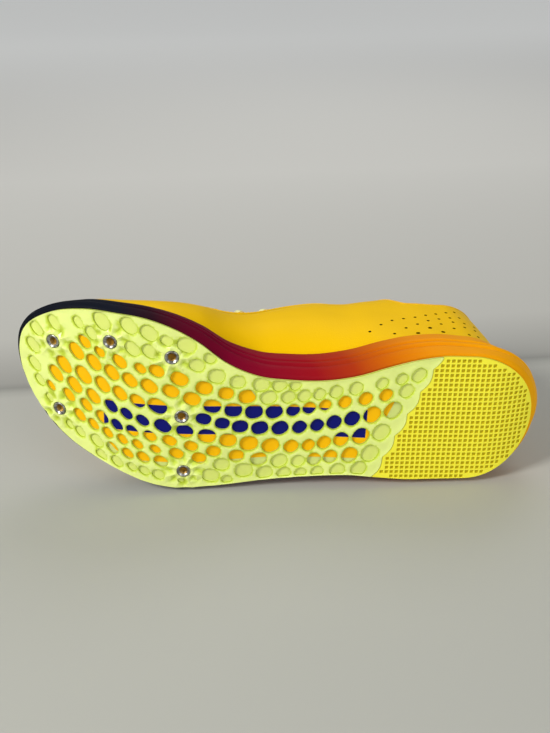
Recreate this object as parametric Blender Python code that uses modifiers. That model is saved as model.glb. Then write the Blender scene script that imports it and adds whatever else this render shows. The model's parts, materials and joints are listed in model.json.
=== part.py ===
"""Distance track spike shoe for the right foot, empty, lying on its outer side.

Every piece is modelled in the shoe's own frame: X from heel to toe, Y towards the inner side of the foot,
Z up from the ground, with the back of the heel at X = 0. One empty then lays the whole shoe on its side.
"""

import functools
import math

import bmesh
import bpy
import numpy as np
from mathutils import Matrix, Vector
from mathutils.geometry import delaunay_2d_cdt

# Driving dimensions, in metres.
LENGTH = 0.285
BALL_WIDTH = 0.0985
INSTEP_HEIGHT = 0.098
HEEL_HEIGHT = 0.093
COLLAR_DIP = 0.012
TOE_SPRING = 0.028
HEEL_BEVEL = 0.009
ARCH_LIFT = 0.0022
EDGE_CURL = 0.0012

SIDE_HEIGHT = 0.028
HEEL_FOOTBED = 0.019
BALL_FOOTBED = 0.0105
TOE_FOOTBED = 0.0066
RIM_WALL = 0.0030
RIDGE_STEP = 0.0017
SIDE_OVERHANG = 0.0033
HEEL_TUCK = 0.0060
HEEL_FLARE = 0.0025
FOAM_RIM = 0.0010
FOAM_CORNER = 0.0012
HEEL_FOAM_RIM = 0.0030

PLATE_THICKNESS = 0.0015
BACKING_THICKNESS = 0.0006
TREAD_THICKNESS = 0.0024
BACKING_INSET = 0.0012
SCALLOP_DEPTH = 0.0020
SCALLOP_PITCH = 0.0145

SOCKET_RADIUS = 0.0037
SOCKET_SIDES = 12
SOCKET_WELL = 0.0024
SOCKET_DEPTH = 0.0060
SOCKET_STAND = 0.0008
SOCKET_ROOF = 0.0010

UPPER_WALL = 0.0015
INSOLE_THICKNESS = 0.0030
TONGUE_THICKNESS = 0.0022
TONGUE_OVERLAP = 0.0065
TONGUE_CLEARANCE = 0.0016
TONGUE_RISE = 0.010
THROAT_HALF_WIDTH = 0.0120
EYELET_RADIUS = 0.0021
EYELET_INSET = 0.0065
LACE_RADIUS = 0.0014
LACE_CLEARANCE = 0.0008
GAP = 0.0003

# Shares of LENGTH where the heel and the toe round off, and where the throat starts and ends.
HEEL_ROUND = 0.14
TOE_ROUND = 0.12
THROAT_FRONT = 0.655
THROAT_TOP = 0.345
THROAT_ROUND = 0.045
COLLAR_RISE = 0.22
EYELET_PAIRS = 6

# Sole outline. Station as a share of LENGTH; centre and half width as shares of BALL_WIDTH.
OUTLINE = (
    # at, centre, half
    (0.00, -0.010, 0.381),
    (0.14, -0.009, 0.383),
    (0.20, -0.010, 0.385),
    (0.25, -0.023, 0.375),
    (0.30, -0.038, 0.350),
    (0.36, -0.059, 0.314),
    (0.42, -0.079, 0.303),
    (0.48, -0.087, 0.311),
    (0.54, -0.084, 0.332),
    (0.60, -0.053, 0.384),
    (0.65, -0.001, 0.449),
    (0.70, 0.038, 0.493),
    (0.75, 0.075, 0.505),
    (0.80, 0.111, 0.487),
    (0.85, 0.150, 0.455),
    (0.90, 0.186, 0.415),
    (0.95, 0.226, 0.386),
    (1.00, 0.275, 0.370),
)

# Foam side wall. Heights as shares of SIDE_HEIGHT, overhang as a share of SIDE_OVERHANG.
SIDE = (
    # at, height, overhang
    (0.00, 0.96, 0.00),
    (0.12, 0.98, 0.10),
    (0.20, 1.00, 0.55),
    (0.28, 1.02, 1.00),
    (0.48, 0.97, 1.00),
    (0.56, 0.90, 0.85),
    (0.64, 0.70, 0.60),
    (0.74, 0.54, 0.30),
    (0.84, 0.48, 0.15),
    (0.92, 0.37, -0.10),
    (1.00, 0.30, -0.20),
)

# Last above the foam. Crest height as a share of INSTEP_HEIGHT, its side shift and the bulges of the
# inner and outer wall as shares of BALL_WIDTH, the height of the bulge as a share of the wall, and how
# square the section is.
LAST = (
    # at, crest, shift, inner, outer, bulge, square
    (0.00, 1.14, 0.000, 0.010, 0.010, 0.42, 6.0),
    (0.13, 1.14, 0.000, 0.005, 0.010, 0.42, 6.0),
    (0.25, 1.14, 0.020, 0.010, 0.020, 0.45, 4.6),
    (0.34, 1.10, 0.050, 0.065, 0.035, 0.48, 3.6),
    (0.42, 1.05, 0.090, 0.120, 0.045, 0.50, 3.0),
    (0.50, 0.97, 0.130, 0.145, 0.045, 0.50, 2.7),
    (0.58, 0.81, 0.175, 0.105, 0.035, 0.46, 2.5),
    (0.66, 0.64, 0.220, 0.045, 0.020, 0.35, 2.2),
    (0.74, 0.55, 0.240, 0.015, 0.010, 0.20, 2.1),
    (0.82, 0.505, 0.255, 0.005, 0.005, 0.12, 2.05),
    (0.90, 0.480, 0.270, 0.003, 0.003, 0.10, 2.1),
    (1.00, 0.460, 0.280, 0.003, 0.003, 0.10, 2.2),
)
HEEL_FAN = 0.13
TOE_FAN = 0.80
TOE_FAN_RATE = 0.5
HEEL_LEAN = 0.006
OUTER_ROUNDING = 0.7

# Rear edge of the spike plate: where it meets the inner and the outer edge of the sole.
PLATE_REAR_INNER = (0.205, 0.36)
PLATE_REAR_OUTER = (0.318, -0.38)

# Rows of ovals in the spike plate. Side position of each row as a share of BALL_WIDTH at seven stations,
# and the first and last column that the row has. Rows lie half a column apart along the shoe.
ROW_STATIONS = (0.30, 0.40, 0.50, 0.60, 0.70, 0.80, 0.90)
PLATE_ROWS = (
    # start, columns, then the side positions
    (6.5, 7, (0.310, 0.270, 0.280, 0.300, 0.485, 0.555, 0.500)),
    (5.0, 14, (0.290, 0.240, 0.190, 0.228, 0.360, 0.420, 0.480)),
    (-0.5, 19, (0.220, 0.155, 0.110, 0.134, 0.250, 0.320, 0.450)),
    (0.0, 18, (0.150, 0.076, 0.028, 0.048, 0.155, 0.238, 0.375)),
    (0.5, 18, (0.042, -0.022, -0.072, -0.042, 0.026, 0.134, 0.260)),
    (1.0, 18, (-0.088, -0.147, -0.189, -0.141, -0.072, 0.030, 0.170)),
    (1.5, 18, (-0.195, -0.249, -0.287, -0.230, -0.146, -0.064, 0.096)),
    (2.0, 17, (-0.300, -0.343, -0.367, -0.315, -0.213, -0.144, -0.010)),
    (9.0, 9, (-0.380, -0.380, -0.400, -0.390, -0.318, -0.224, -0.105)),
    (11.5, 5, (-0.420, -0.420, -0.430, -0.430, -0.400, -0.300, -0.190)),
)
# Station of every third or so column, in the row that starts at 0.5.
COLUMNS = (
    # column, at
    (-1.0, 0.215),
    (0.5, 0.287),
    (3.5, 0.399),
    (5.5, 0.463),
    (8.5, 0.575),
    (10.5, 0.645),
    (12.5, 0.732),
    (15.5, 0.830),
    (17.5, 0.902),
    (20.0, 0.975),
)
# Ovals: half length and half width as shares of the mean column pitch, and the angle from the long axis.
COLUMN_PITCH = 0.0105
OVALS = (
    # at, long, short, lean
    (0.20, 0.46, 0.36, -50.0),
    (0.30, 0.46, 0.38, -50.0),
    (0.38, 0.42, 0.37, -45.0),
    (0.46, 0.36, 0.33, -25.0),
    (0.56, 0.42, 0.36, 0.0),
    (0.64, 0.44, 0.35, 20.0),
    (0.72, 0.46, 0.33, 35.0),
    (0.82, 0.47, 0.30, 55.0),
    (0.92, 0.46, 0.28, 55.0),
)
OVAL_SIDES = 8
SHEET_PITCH = 0.012
OVAL_CLEAR_OF_SOCKET = 0.0085

# Coloured panel behind the plate. Only the ovals over it are cut right through.
PANEL = (
    # at, side
    (0.937, 0.300),
    (0.895, 0.420),
    (0.800, 0.372),
    (0.700, 0.300),
    (0.640, 0.232),
    (0.560, 0.175),
    (0.535, 0.070),
    (0.480, 0.070),
    (0.400, 0.115),
    (0.300, 0.190),
    (0.280, 0.120),
    (0.336, -0.262),
    (0.515, -0.262),
    (0.600, -0.275),
    (0.670, -0.290),
    (0.780, -0.285),
    (0.815, -0.235),
    (0.850, -0.120),
    (0.905, 0.020),
    (0.937, 0.080),
)

SOCKETS = (
    # at, side
    (0.923, 0.384),
    (0.812, 0.430),
    (0.700, 0.360),
    (0.921, -0.020),
    (0.685, 0.010),
    (0.684, -0.333),
)

# Working density of each piece, in kilograms per cubic metre, which decides how the shoe lies.
DENSITY = {
    "midsole": 140.0,
    "spike_plate": 1100.0,
    "plate_backing": 1100.0,
    "heel_tread": 1100.0,
    "upper": 620.0,
    "tongue": 350.0,
    "insole": 180.0,
    "lace": 500.0,
    "socket": 2700.0,
}

COLOURS = {
    # name: (red, green, blue), roughness, metallic
    "foam": ((0.75, 0.16, 0.03), 0.55, 0.0),
    "plate": ((0.73, 0.86, 0.20), 0.30, 0.0),
    "backing": ((0.95, 0.50, 0.02), 0.45, 0.0),
    "tread": ((0.80, 0.76, 0.03), 0.60, 0.0),
    "knit": ((0.88, 0.56, 0.01), 0.55, 0.0),
    "lining": ((0.90, 0.72, 0.10), 0.85, 0.0),
    "lace": ((0.90, 0.90, 0.45), 0.80, 0.0),
    "steel": ((0.60, 0.60, 0.58), 0.30, 1.0),
}

HEEL_STEPS, SIDE_STEPS, THROAT_STEPS, VAMP_STEPS, TOE_STEPS = 5, 6, 9, 6, 5


def column(table, index, at):
    """Smooth curve through one column of a table whose first column is the station."""
    knots = np.array([row[0] for row in table])
    value = np.array([row[index] for row in table])
    slope = np.gradient(value, knots)
    at = np.clip(at, knots[0], knots[-1])
    left = np.clip(np.searchsorted(knots, at, side="right") - 1, 0, len(knots) - 2)
    step = knots[left + 1] - knots[left]
    part = (at - knots[left]) / step
    back = 1 - part
    return (
        value[left] * (1 + 2 * part) * back**2
        + value[left + 1] * (3 - 2 * part) * part**2
        + slope[left] * step * part * back**2
        - slope[left + 1] * step * back * part**2
    )


def ground(at, side):
    """Height of the ground side of the sole over the floor it would stand on."""
    heel = HEEL_BEVEL * np.clip(1 - at / 0.12, 0, 1) ** 2
    arch = ARCH_LIFT * np.sin(math.pi * np.clip((at - 0.30) / 0.38, 0, 1)) ** 2
    toe = TOE_SPRING * (np.clip(at - 0.70, 0, None) / 0.30) ** 2
    across = (side - column(OUTLINE, 1, at) * BALL_WIDTH) / (column(OUTLINE, 2, at) * BALL_WIDTH)
    curl = EDGE_CURL * np.clip((at - 0.45) / 0.2, 0, 1) * across**4
    return heel + arch + toe + curl


def bend(points, height):
    """Points of a flat pattern laid on the ground side of the sole and raised along its normal."""
    x, y = points[:, 0], points[:, 1]
    reach = 0.0005
    z = ground(x / LENGTH, y)
    slope_x = (ground((x + reach) / LENGTH, y) - ground((x - reach) / LENGTH, y)) / (2 * reach)
    slope_y = (ground(x / LENGTH, y + reach) - ground(x / LENGTH, y - reach)) / (2 * reach)
    normal = np.stack([-slope_x, -slope_y, np.ones_like(x)], 1)
    normal /= np.linalg.norm(normal, axis=1)[:, None]
    return np.stack([x, y, z], 1) + normal * np.reshape(height, (-1, 1))


def outline_stations():
    """Stations from heel to toe, close together where the ends round off."""
    turn = np.linspace(0, math.pi / 2, HEEL_STEPS + 1)
    heel = HEEL_ROUND * (1 - np.cos(turn))
    side = np.linspace(HEEL_ROUND, THROAT_TOP, SIDE_STEPS + 1)
    ahead = 1 - (1 - np.linspace(0, 1, THROAT_STEPS + 1)) ** 1.3
    throat = THROAT_TOP + (THROAT_FRONT - THROAT_TOP) * ahead
    vamp = np.linspace(THROAT_FRONT, 1 - TOE_ROUND, VAMP_STEPS + 1)
    turn = np.linspace(math.pi / 2, 0, TOE_STEPS + 1)
    toe = 1 - TOE_ROUND * (1 - np.cos(turn))
    return np.concatenate([heel, side[1:], throat[1:], vamp[1:], toe[1:]])


STATIONS = outline_stations()
COUNT = len(STATIONS) - 1
# One turn round the sole: heel, inner side, toe, outer side. The partner of point i is point -i.
TURN = np.concatenate([STATIONS, STATIONS[-2:0:-1]])
SIDE_SIGN = np.concatenate([[0.0], np.ones(COUNT - 1), [0.0], -np.ones(COUNT - 1)])


def base_loop():
    """Widest outline of the foam as a closed loop, with the ends rounded as ellipses."""
    heel_end = np.sqrt(1 - np.clip(1 - TURN / HEEL_ROUND, 0, 1) ** 2)
    toe_end = np.sqrt(1 - np.clip((TURN - 1 + TOE_ROUND) / TOE_ROUND, 0, 1) ** 2)
    half = column(OUTLINE, 2, TURN) * heel_end * toe_end
    side = (column(OUTLINE, 1, TURN) + SIDE_SIGN * half) * BALL_WIDTH
    return np.stack([TURN * LENGTH, side], 1)


def parallel(outset):
    """The outline moved outwards by a distance, which may differ from point to point."""
    loop = base_loop()
    tangent = np.roll(loop, -1, 0) - np.roll(loop, 1, 0)
    normal = np.stack([-tangent[:, 1], tangent[:, 0]], 1)
    normal /= np.linalg.norm(normal, axis=1)[:, None]
    return loop + normal * np.reshape(outset, (-1, 1))


def heel_share():
    """One at the back of the heel, falling to nothing where the heel has rounded off."""
    return np.clip(1 - TURN / HEEL_ROUND, 0, 1) ** 1.5


def pad_loop(inset=0.0):
    """Outline of the plate and the heel tread, inside the foam's rim."""
    return parallel(-(FOAM_RIM + HEEL_FOAM_RIM * heel_share() + inset))


def wall_top():
    """Outset and height of the foam's top edge all round."""
    outset = SIDE_OVERHANG * column(SIDE, 2, TURN) - HEEL_TUCK * heel_share()
    height = SIDE_HEIGHT * column(SIDE, 1, TURN)
    return outset, height


def footbed_height(at):
    """Height of the footbed over the ground side of the sole."""
    fall = np.clip((at - 0.30) / 0.35, 0, 1)
    fall = fall * fall * (3 - 2 * fall)
    ball = HEEL_FOOTBED + (BALL_FOOTBED - HEEL_FOOTBED) * fall
    return ball + (TOE_FOOTBED - BALL_FOOTBED) * np.clip((at - 0.65) / 0.35, 0, 1)


def raised(loop, height):
    """A loop lifted straight up from the ground side of the sole."""
    z = ground(loop[:, 0] / LENGTH, loop[:, 1]) + height
    return np.column_stack([loop, z])


def ladder(first, turns):
    """Faces that close a loop by joining each point of the inner side to its partner."""
    faces = []
    for i in range(turns // 2):
        rung = [i, i + 1, (turns - i - 1) % turns, (turns - i) % turns]
        rung = list(dict.fromkeys(rung))
        faces.append([first + corner for corner in rung])
    return faces


def stacked(rings):
    """Closed body through loops of equal count, its first and last loop closed across."""
    turns = len(rings[0])
    points = np.concatenate(rings)
    faces = ladder(0, turns)
    for level in range(len(rings) - 1):
        for i in range(turns):
            j = (i + 1) % turns
            low, high = level * turns, (level + 1) * turns
            faces.append([low + i, low + j, high + j, high + i])
    return points, faces + ladder((len(rings) - 1) * turns, turns)


def new_object(name, points, faces, colour, collection):
    """A mesh object in the shoe's frame, with its faces turned outwards."""
    mesh = bpy.data.meshes.new(name)
    mesh.from_pydata([tuple(map(float, point)) for point in points], [], faces)
    work = bmesh.new()
    work.from_mesh(mesh)
    bmesh.ops.remove_doubles(work, verts=work.verts, dist=1e-6)
    bmesh.ops.recalc_face_normals(work, faces=work.faces)
    shut = all(edge.is_manifold for edge in work.edges)
    if shut and work.calc_volume(signed=True) < 0:
        bmesh.ops.reverse_faces(work, faces=work.faces)
    work.to_mesh(mesh)
    work.free()
    obj = bpy.data.objects.new(name, mesh)
    collection.objects.link(obj)
    if colour:
        mesh.materials.append(material(colour))
        mesh.shade_smooth()
        mesh.set_sharp_from_angle(angle=math.radians(40))
    return obj


def material(name):
    """Principled material of one of the named finishes."""
    if name in bpy.data.materials:
        return bpy.data.materials[name]
    rgb, roughness, metallic = COLOURS[name]
    made = bpy.data.materials.new(name)
    made.use_nodes = True
    shader = made.node_tree.nodes["Principled BSDF"]
    shader.inputs["Base Color"].default_value = (*rgb, 1.0)
    shader.inputs["Roughness"].default_value = roughness
    shader.inputs["Metallic"].default_value = metallic
    made.diffuse_color = (*rgb, 1.0)
    return made


def boolean(obj, cutter, operation):
    """Cuts or joins another mesh object, which stays out of the finished part."""
    change = obj.modifiers.new(cutter.name, "BOOLEAN")
    change.operation = operation
    change.solver = "EXACT"
    change.object = cutter
    cutter.hide_render = True
    cutter.display_type = "WIRE"


def inside(points, polygon):
    """Which points lie inside a polygon, by counting the edges to one side of each."""
    x, y = points[:, 0][:, None], points[:, 1][:, None]
    x1, y1 = polygon[:, 0], polygon[:, 1]
    x2, y2 = np.roll(x1, -1), np.roll(y1, -1)
    span = np.where(y2 == y1, 1e-12, y2 - y1)
    crosses = ((y1 > y) != (y2 > y)) & (x < x1 + (y - y1) * (x2 - x1) / span)
    return crosses.sum(1) % 2 == 1


def clear_of(points, loop, distance):
    """Which points lie at least a distance from every edge of a loop."""
    start, span = loop, np.roll(loop, -1, 0) - loop
    to_point = points[:, None] - start[None]
    share = (to_point * span).sum(2) / np.maximum((span**2).sum(1), 1e-12)
    nearest = start + np.clip(share, 0, 1)[:, :, None] * span
    return np.linalg.norm(points[:, None] - nearest, axis=2).min(1) > distance


def inner_points(outline, holes):
    """A staggered grid of points inside a pattern, so that its triangles follow the bend."""
    low, high = outline.min(0), outline.max(0)
    x = np.arange(low[0], high[0], SHEET_PITCH * 0.8)
    y = np.arange(low[1], high[1], SHEET_PITCH)
    grid = np.stack(np.meshgrid(x, y, indexing="ij"), -1)
    grid[1::2, :, 1] += SHEET_PITCH / 2
    points = grid.reshape(-1, 2)
    points = points[inside(points, outline) & clear_of(points, outline, SHEET_PITCH * 0.3)]
    for hole in holes:
        near = SHEET_PITCH * 0.25
        points = points[clear_of(points, hole, near) & ~inside(points, hole)]
    return points


def sheet(name, outline, holes, low, high, colour, collection):
    """A flat pattern with holes, triangulated, given a thickness and bent to the sole."""
    loops = [outline, *holes]
    points = [Vector(point) for loop in loops for point in loop]
    points += [Vector(point) for point in inner_points(outline, holes)]
    edges, first = [], 0
    for loop in loops:
        count = len(loop)
        edges += [(first + i, first + (i + 1) % count) for i in range(count)]
        first += count
    found = delaunay_2d_cdt(points, edges, [], 0, 1e-7)
    flat = np.array([tuple(point) for point in found[0]])
    triangles = np.array([list(face) for face in found[2]])
    middle = flat[triangles].mean(1)
    keep = inside(middle, outline)
    for hole in holes:
        keep &= ~inside(middle, hole)
    triangles = triangles[keep]
    ends = np.concatenate([triangles[:, [0, 1]], triangles[:, [1, 2]], triangles[:, [2, 0]]])
    _, where, times = np.unique(np.sort(ends, 1), axis=0, return_inverse=True, return_counts=True)
    rim = ends[times[where.reshape(-1)] == 1]
    count = len(flat)
    solid = np.concatenate([bend(flat, low), bend(flat, high)])
    faces = [list(map(int, face[::-1])) for face in triangles]
    faces += [[int(corner) + count for corner in face] for face in triangles]
    faces += [[int(a), int(b), int(b) + count, int(a) + count] for a, b in rim]
    return new_object(name, solid, faces, colour, collection)


def rear_edge(shift, steps):
    """Scalloped line from the outer to the inner side where plate and tread meet, moved by shift."""
    start = np.array(PLATE_REAR_OUTER) * (LENGTH, BALL_WIDTH)
    end = np.array(PLATE_REAR_INNER) * (LENGTH, BALL_WIDTH)
    share = np.linspace(-0.12, 1.12, steps)[:, None]
    line = start + (end - start) * share
    way = (end - start) / np.linalg.norm(end - start)
    forward = np.array([way[1], -way[0]])
    wave = SCALLOP_DEPTH * np.abs(np.sin(math.pi * share * np.linalg.norm(end - start) / SCALLOP_PITCH))
    return line + forward * (SCALLOP_DEPTH / 2 - wave + shift)


def crossing(loop, line):
    """Where a line across a loop meets it: the indices and points of both meetings, outer then inner."""
    found = []
    for i in range(len(loop)):
        a, b = loop[i], loop[(i + 1) % len(loop)]
        for j in range(len(line) - 1):
            c, d = line[j], line[j + 1]
            along, across = b - a, d - c
            area = along[0] * across[1] - along[1] * across[0]
            if abs(area) < 1e-15:
                continue
            offset = c - a
            t = (offset[0] * across[1] - offset[1] * across[0]) / area
            u = (offset[0] * along[1] - offset[1] * along[0]) / area
            if 0 <= t < 1 and 0 <= u < 1:
                found.append((i, j, a + along * t))
    return sorted(found, key=lambda meeting: meeting[1])


def split(loop, line, front):
    """A loop cut by a line from its outer to its inner side: the part in front of it, or behind."""
    meetings = crossing(loop, line)
    outer, inner = meetings[0], meetings[-1]
    seam = np.concatenate([[outer[2]], line[outer[1] + 1 : inner[1] + 1], [inner[2]]])
    if front:
        rest = loop[inner[0] + 1 : outer[0] + 1]
        return np.concatenate([seam, rest])
    rest = np.concatenate([loop[outer[0] + 1 :], loop[: inner[0] + 1]])
    return np.concatenate([seam[::-1], rest])


def oval(centre, long, short, lean, sides):
    """Points of an ellipse, its long axis turned from the length of the shoe."""
    turn = np.arange(sides) * 2 * math.pi / sides
    x, y = long * np.cos(turn), short * np.sin(turn)
    c, s = math.cos(lean), math.sin(lean)
    return np.stack([centre[0] + x * c - y * s, centre[1] + x * s + y * c], 1)


def oval_centres():
    """Centres of all the ovals of the plate, as metres in plan."""
    knots = np.array(COLUMNS)
    centres = []
    for start, count, sides in PLATE_ROWS:
        for step in range(count):
            at = column(COLUMNS, 1, np.array([start + step]))[0]
            if start + step > knots[-1, 0]:
                continue
            curve = tuple(zip(ROW_STATIONS, sides))
            side = column(curve, 1, np.array([at]))[0]
            centres.append((at * LENGTH, side * BALL_WIDTH))
    return np.array(centres)


def socket_centres():
    return np.array([(at * LENGTH, side * BALL_WIDTH) for at, side in SOCKETS])


def windows():
    """The ovals that are cut through: those over the panel and clear of the sockets."""
    centres = oval_centres()
    panel = np.array(PANEL) * (LENGTH, BALL_WIDTH)
    away = np.linalg.norm(centres[:, None] - socket_centres()[None], axis=2).min(1)
    centres = centres[inside(centres, panel) & (away > OVAL_CLEAR_OF_SOCKET)]
    at = centres[:, 0] / LENGTH
    long = column(OVALS, 1, at) * COLUMN_PITCH
    short = column(OVALS, 2, at) * COLUMN_PITCH
    lean = np.radians(column(OVALS, 3, at))
    return [oval(*values, OVAL_SIDES) for values in zip(centres, long, short, lean)]


def socket_frame(centre):
    """Place and axis of a socket: on the ground side of the sole and along its normal."""
    foot, tip = bend(np.array([centre]), 0.0)[0], bend(np.array([centre]), 1.0)[0]
    axis = Vector(tip - foot)
    return Matrix.Translation(Vector(foot)) @ axis.to_track_quat("Z", "X").to_matrix().to_4x4()


def socket_holes(clearance):
    """Outlines, in plan, of the holes that the sockets pass through."""
    holes = []
    for centre in socket_centres():
        frame = socket_frame(centre)
        turn = np.arange(SOCKET_SIDES) * 2 * math.pi / SOCKET_SIDES
        radius = (SOCKET_RADIUS + clearance) / math.cos(math.pi / SOCKET_SIDES)
        circle = [frame @ Vector((radius * math.cos(a), radius * math.sin(a), 0)) for a in turn]
        holes.append(np.array([point[:2] for point in circle]))
    return holes


def make_plate(collection):
    loop = split(pad_loop(), rear_edge(GAP / 2, 41), True)
    holes = windows() + socket_holes(GAP)
    return sheet("spike_plate", loop, holes, 0.0, PLATE_THICKNESS, "plate", collection)


def make_backing(collection):
    low = PLATE_THICKNESS + GAP
    loop = split(pad_loop(BACKING_INSET), rear_edge(GAP / 2 + BACKING_INSET, 21), True)
    holes = socket_holes(GAP)
    return sheet("plate_backing", loop, holes, low, low + BACKING_THICKNESS, "backing", collection)


def make_tread(collection):
    loop = split(pad_loop(), rear_edge(-GAP / 2, 41), False)
    return sheet("heel_tread", loop, [], 0.0, TREAD_THICKNESS, "tread", collection)


def lathe(name, profile, sides, frame, colour, collection):
    """A turned body: a closed profile of radius and height, spun about the frame's Z axis."""
    points, faces = [], []
    for radius, height in profile:
        for k in range(sides):
            turn = 2 * math.pi * k / sides
            points.append(frame @ Vector((radius * math.cos(turn), radius * math.sin(turn), height)))
    for level in range(len(profile) - 1):
        for k in range(sides):
            j = (k + 1) % sides
            low, high = level * sides, (level + 1) * sides
            faces.append([low + k, low + j, high + j, high + k])
    faces.append(list(range(sides)))
    faces.append([(len(profile) - 1) * sides + k for k in range(sides)])
    return new_object(name, points, faces, colour, collection)


def make_sockets(collection):
    """Metal inserts that take screw-in spikes: a blind well in a collar that stands a little proud."""
    profile = (
        (SOCKET_RADIUS, SOCKET_DEPTH - SOCKET_STAND),
        (SOCKET_RADIUS, -0.6 * SOCKET_STAND),
        (SOCKET_RADIUS - 0.4 * SOCKET_STAND, -SOCKET_STAND),
        (SOCKET_WELL, -SOCKET_STAND),
        (SOCKET_WELL, SOCKET_DEPTH - SOCKET_STAND - SOCKET_ROOF),
    )
    made = []
    for number, centre in enumerate(socket_centres(), 1):
        frame = socket_frame(centre)
        made.append(lathe(f"spike_socket_{number}", profile, SOCKET_SIDES, frame, "steel", collection))
    return made


def make_midsole(collection, cutters):
    """One foam body: ground side, stepped side wall, rim, and the footbed sunk inside the rim."""
    outset, height = wall_top()
    base = np.zeros_like(outset)
    under = PLATE_THICKNESS + BACKING_THICKNESS + 2 * GAP
    corner = under + FOAM_CORNER
    ridge = np.clip(outset, 0, None) * 0.8 + 0.0006 + HEEL_FLARE * heel_share()
    footbed = footbed_height(TURN)
    inner = outset - RIM_WALL
    rings = (
        bend(parallel(base - 0.012), under),
        bend(parallel(base - 0.0022 - HEEL_FOAM_RIM * heel_share() * 0.4), under),
        bend(parallel(base - 0.0004), corner),
        raised(parallel(0.3 * ridge), corner + 0.16 * (0.56 * height - corner)),
        raised(parallel(ridge), 0.56 * height),
        raised(parallel(ridge - RIDGE_STEP - 0.4 * HEEL_TUCK * heel_share()), 0.66 * height),
        raised(parallel(outset - 0.0003), height - 0.0012),
        raised(parallel(outset - 0.0010), height),
        raised(parallel(inner + 0.0006), height),
        raised(parallel(inner), height - 0.0008),
        raised(parallel(inner), footbed),
        raised(parallel(inner - 0.010), footbed),
    )
    midsole = new_object("midsole", *stacked(rings), "foam", collection)
    for number, centre in enumerate(socket_centres(), 1):
        profile = (
            (SOCKET_RADIUS + GAP, under - 0.003),
            (SOCKET_RADIUS + GAP, SOCKET_DEPTH - SOCKET_STAND + GAP),
        )
        frame = socket_frame(centre)
        cutter = lathe(f"socket_pocket_{number}", profile, SOCKET_SIDES, frame, None, cutters)
        boolean(midsole, cutter, "DIFFERENCE")
    return midsole


def fan_station(at):
    """Station of the crest point that a wall section leans towards: the sections fan out at both ends."""
    toe = TOE_FAN + (at - TOE_FAN) * TOE_FAN_RATE
    return np.where(at > TOE_FAN, toe, np.maximum(at, HEEL_FAN))


def section(offset=0.0):
    """Sizes of the wall section at each point of TURN: its foot on the rim, axis, reach and heights."""
    outset, rim = wall_top()
    foot = raised(parallel(outset - RIM_WALL - GAP - offset), rim)
    crest_at = fan_station(TURN)
    crest = INSTEP_HEIGHT * column(LAST, 1, crest_at) - offset
    axis = np.stack([crest_at * LENGTH, column(LAST, 2, crest_at) * BALL_WIDTH], 1)
    inner = column(LAST, 3, TURN)
    outer = column(LAST, 4, TURN)
    bulge = BALL_WIDTH * (inner * (1 + SIDE_SIGN) + outer * (1 - SIDE_SIGN)) / 2
    middle = foot[:, 2] + column(LAST, 5, TURN) * (crest - foot[:, 2])
    reach = np.linalg.norm(foot[:, :2] - axis, axis=1)
    square = column(LAST, 6, TURN)
    rounder = OUTER_ROUNDING * np.clip((TURN - HEEL_ROUND) / 0.15, 0, 1) * (SIDE_SIGN < 0)
    square = square + (2 - square) * rounder
    return foot, axis, 1 + bulge / reach, reach, middle, crest, square


def last_surface(angle, offset=0.0):
    """Points on the last, one for each point of TURN.

    The angle is -1 at the foam's rim, 0 at the widest place of the wall and pi/2 on the crest. Below the
    widest place the wall leaves the rim in a parabola; above it each section is a quarter of a
    superellipse. offset moves the wall inwards.
    """
    foot, axis, wide, _, middle, crest, square = section(offset)
    up = np.clip(angle, 0, math.pi / 2)
    down = np.clip(-angle, 0, 1)
    share = np.where(angle >= 0, wide * np.cos(up) ** (2 / square), wide - (wide - 1) * down**2)
    lift = np.sin(up) ** (2 / square)
    z = np.where(angle >= 0, middle + (crest - middle) * lift, middle - (middle - foot[:, 2]) * down)
    plan = axis + (foot[:, :2] - axis) * share[:, None]
    height = np.clip((z - foot[:, 2]) / (HEEL_HEIGHT - foot[:, 2]), 0, 1.2)
    plan[:, 0] += HEEL_LEAN * height**1.5 * np.clip(1 - TURN / 0.30, 0, 1)
    return np.column_stack([plan, z])


@functools.cache
def girth():
    """Angles from the crest down, and how far along the last's surface each lies from the crest."""
    angles = np.linspace(math.pi / 2, -1, 121)
    surface = np.array([last_surface(np.full_like(TURN, angle)) for angle in angles])
    step = np.linalg.norm(np.diff(surface, axis=0), axis=2)
    return angles, np.concatenate([np.zeros((1, len(TURN))), np.cumsum(step, axis=0)])


def angle_at(distance):
    """Angle on the last where its surface is a given distance from the crest, measured along it."""
    angles, walked = girth()
    distance = np.broadcast_to(distance, TURN.shape)
    return np.array([np.interp(d, walked[:, i], angles) for i, d in enumerate(distance)])


def top_angle():
    """Angle on the last where the upper's edge runs: along the collar, then the throat, then the crest."""
    _, _, _, _, middle, crest, square = section()
    dip = COLLAR_DIP * np.sin(math.pi * np.clip(TURN / THROAT_TOP, 0, 1)) ** 1.5
    lift = np.clip((HEEL_HEIGHT - dip - middle) / (crest - middle), 0, 1)
    collar = np.arcsin(lift ** (square / 2))
    front = np.clip((THROAT_FRONT - TURN) / THROAT_ROUND, 0, 1)
    throat = angle_at(THROAT_HALF_WIDTH * np.sqrt(1 - (1 - front) ** 2))
    rise = np.clip((TURN - COLLAR_RISE) / (THROAT_TOP - COLLAR_RISE), 0, 1)
    rise = rise * rise * (3 - 2 * rise)
    edge = collar + (throat - collar) * rise
    return np.where(TURN > THROAT_FRONT - 1e-6, math.pi / 2, edge)


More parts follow.
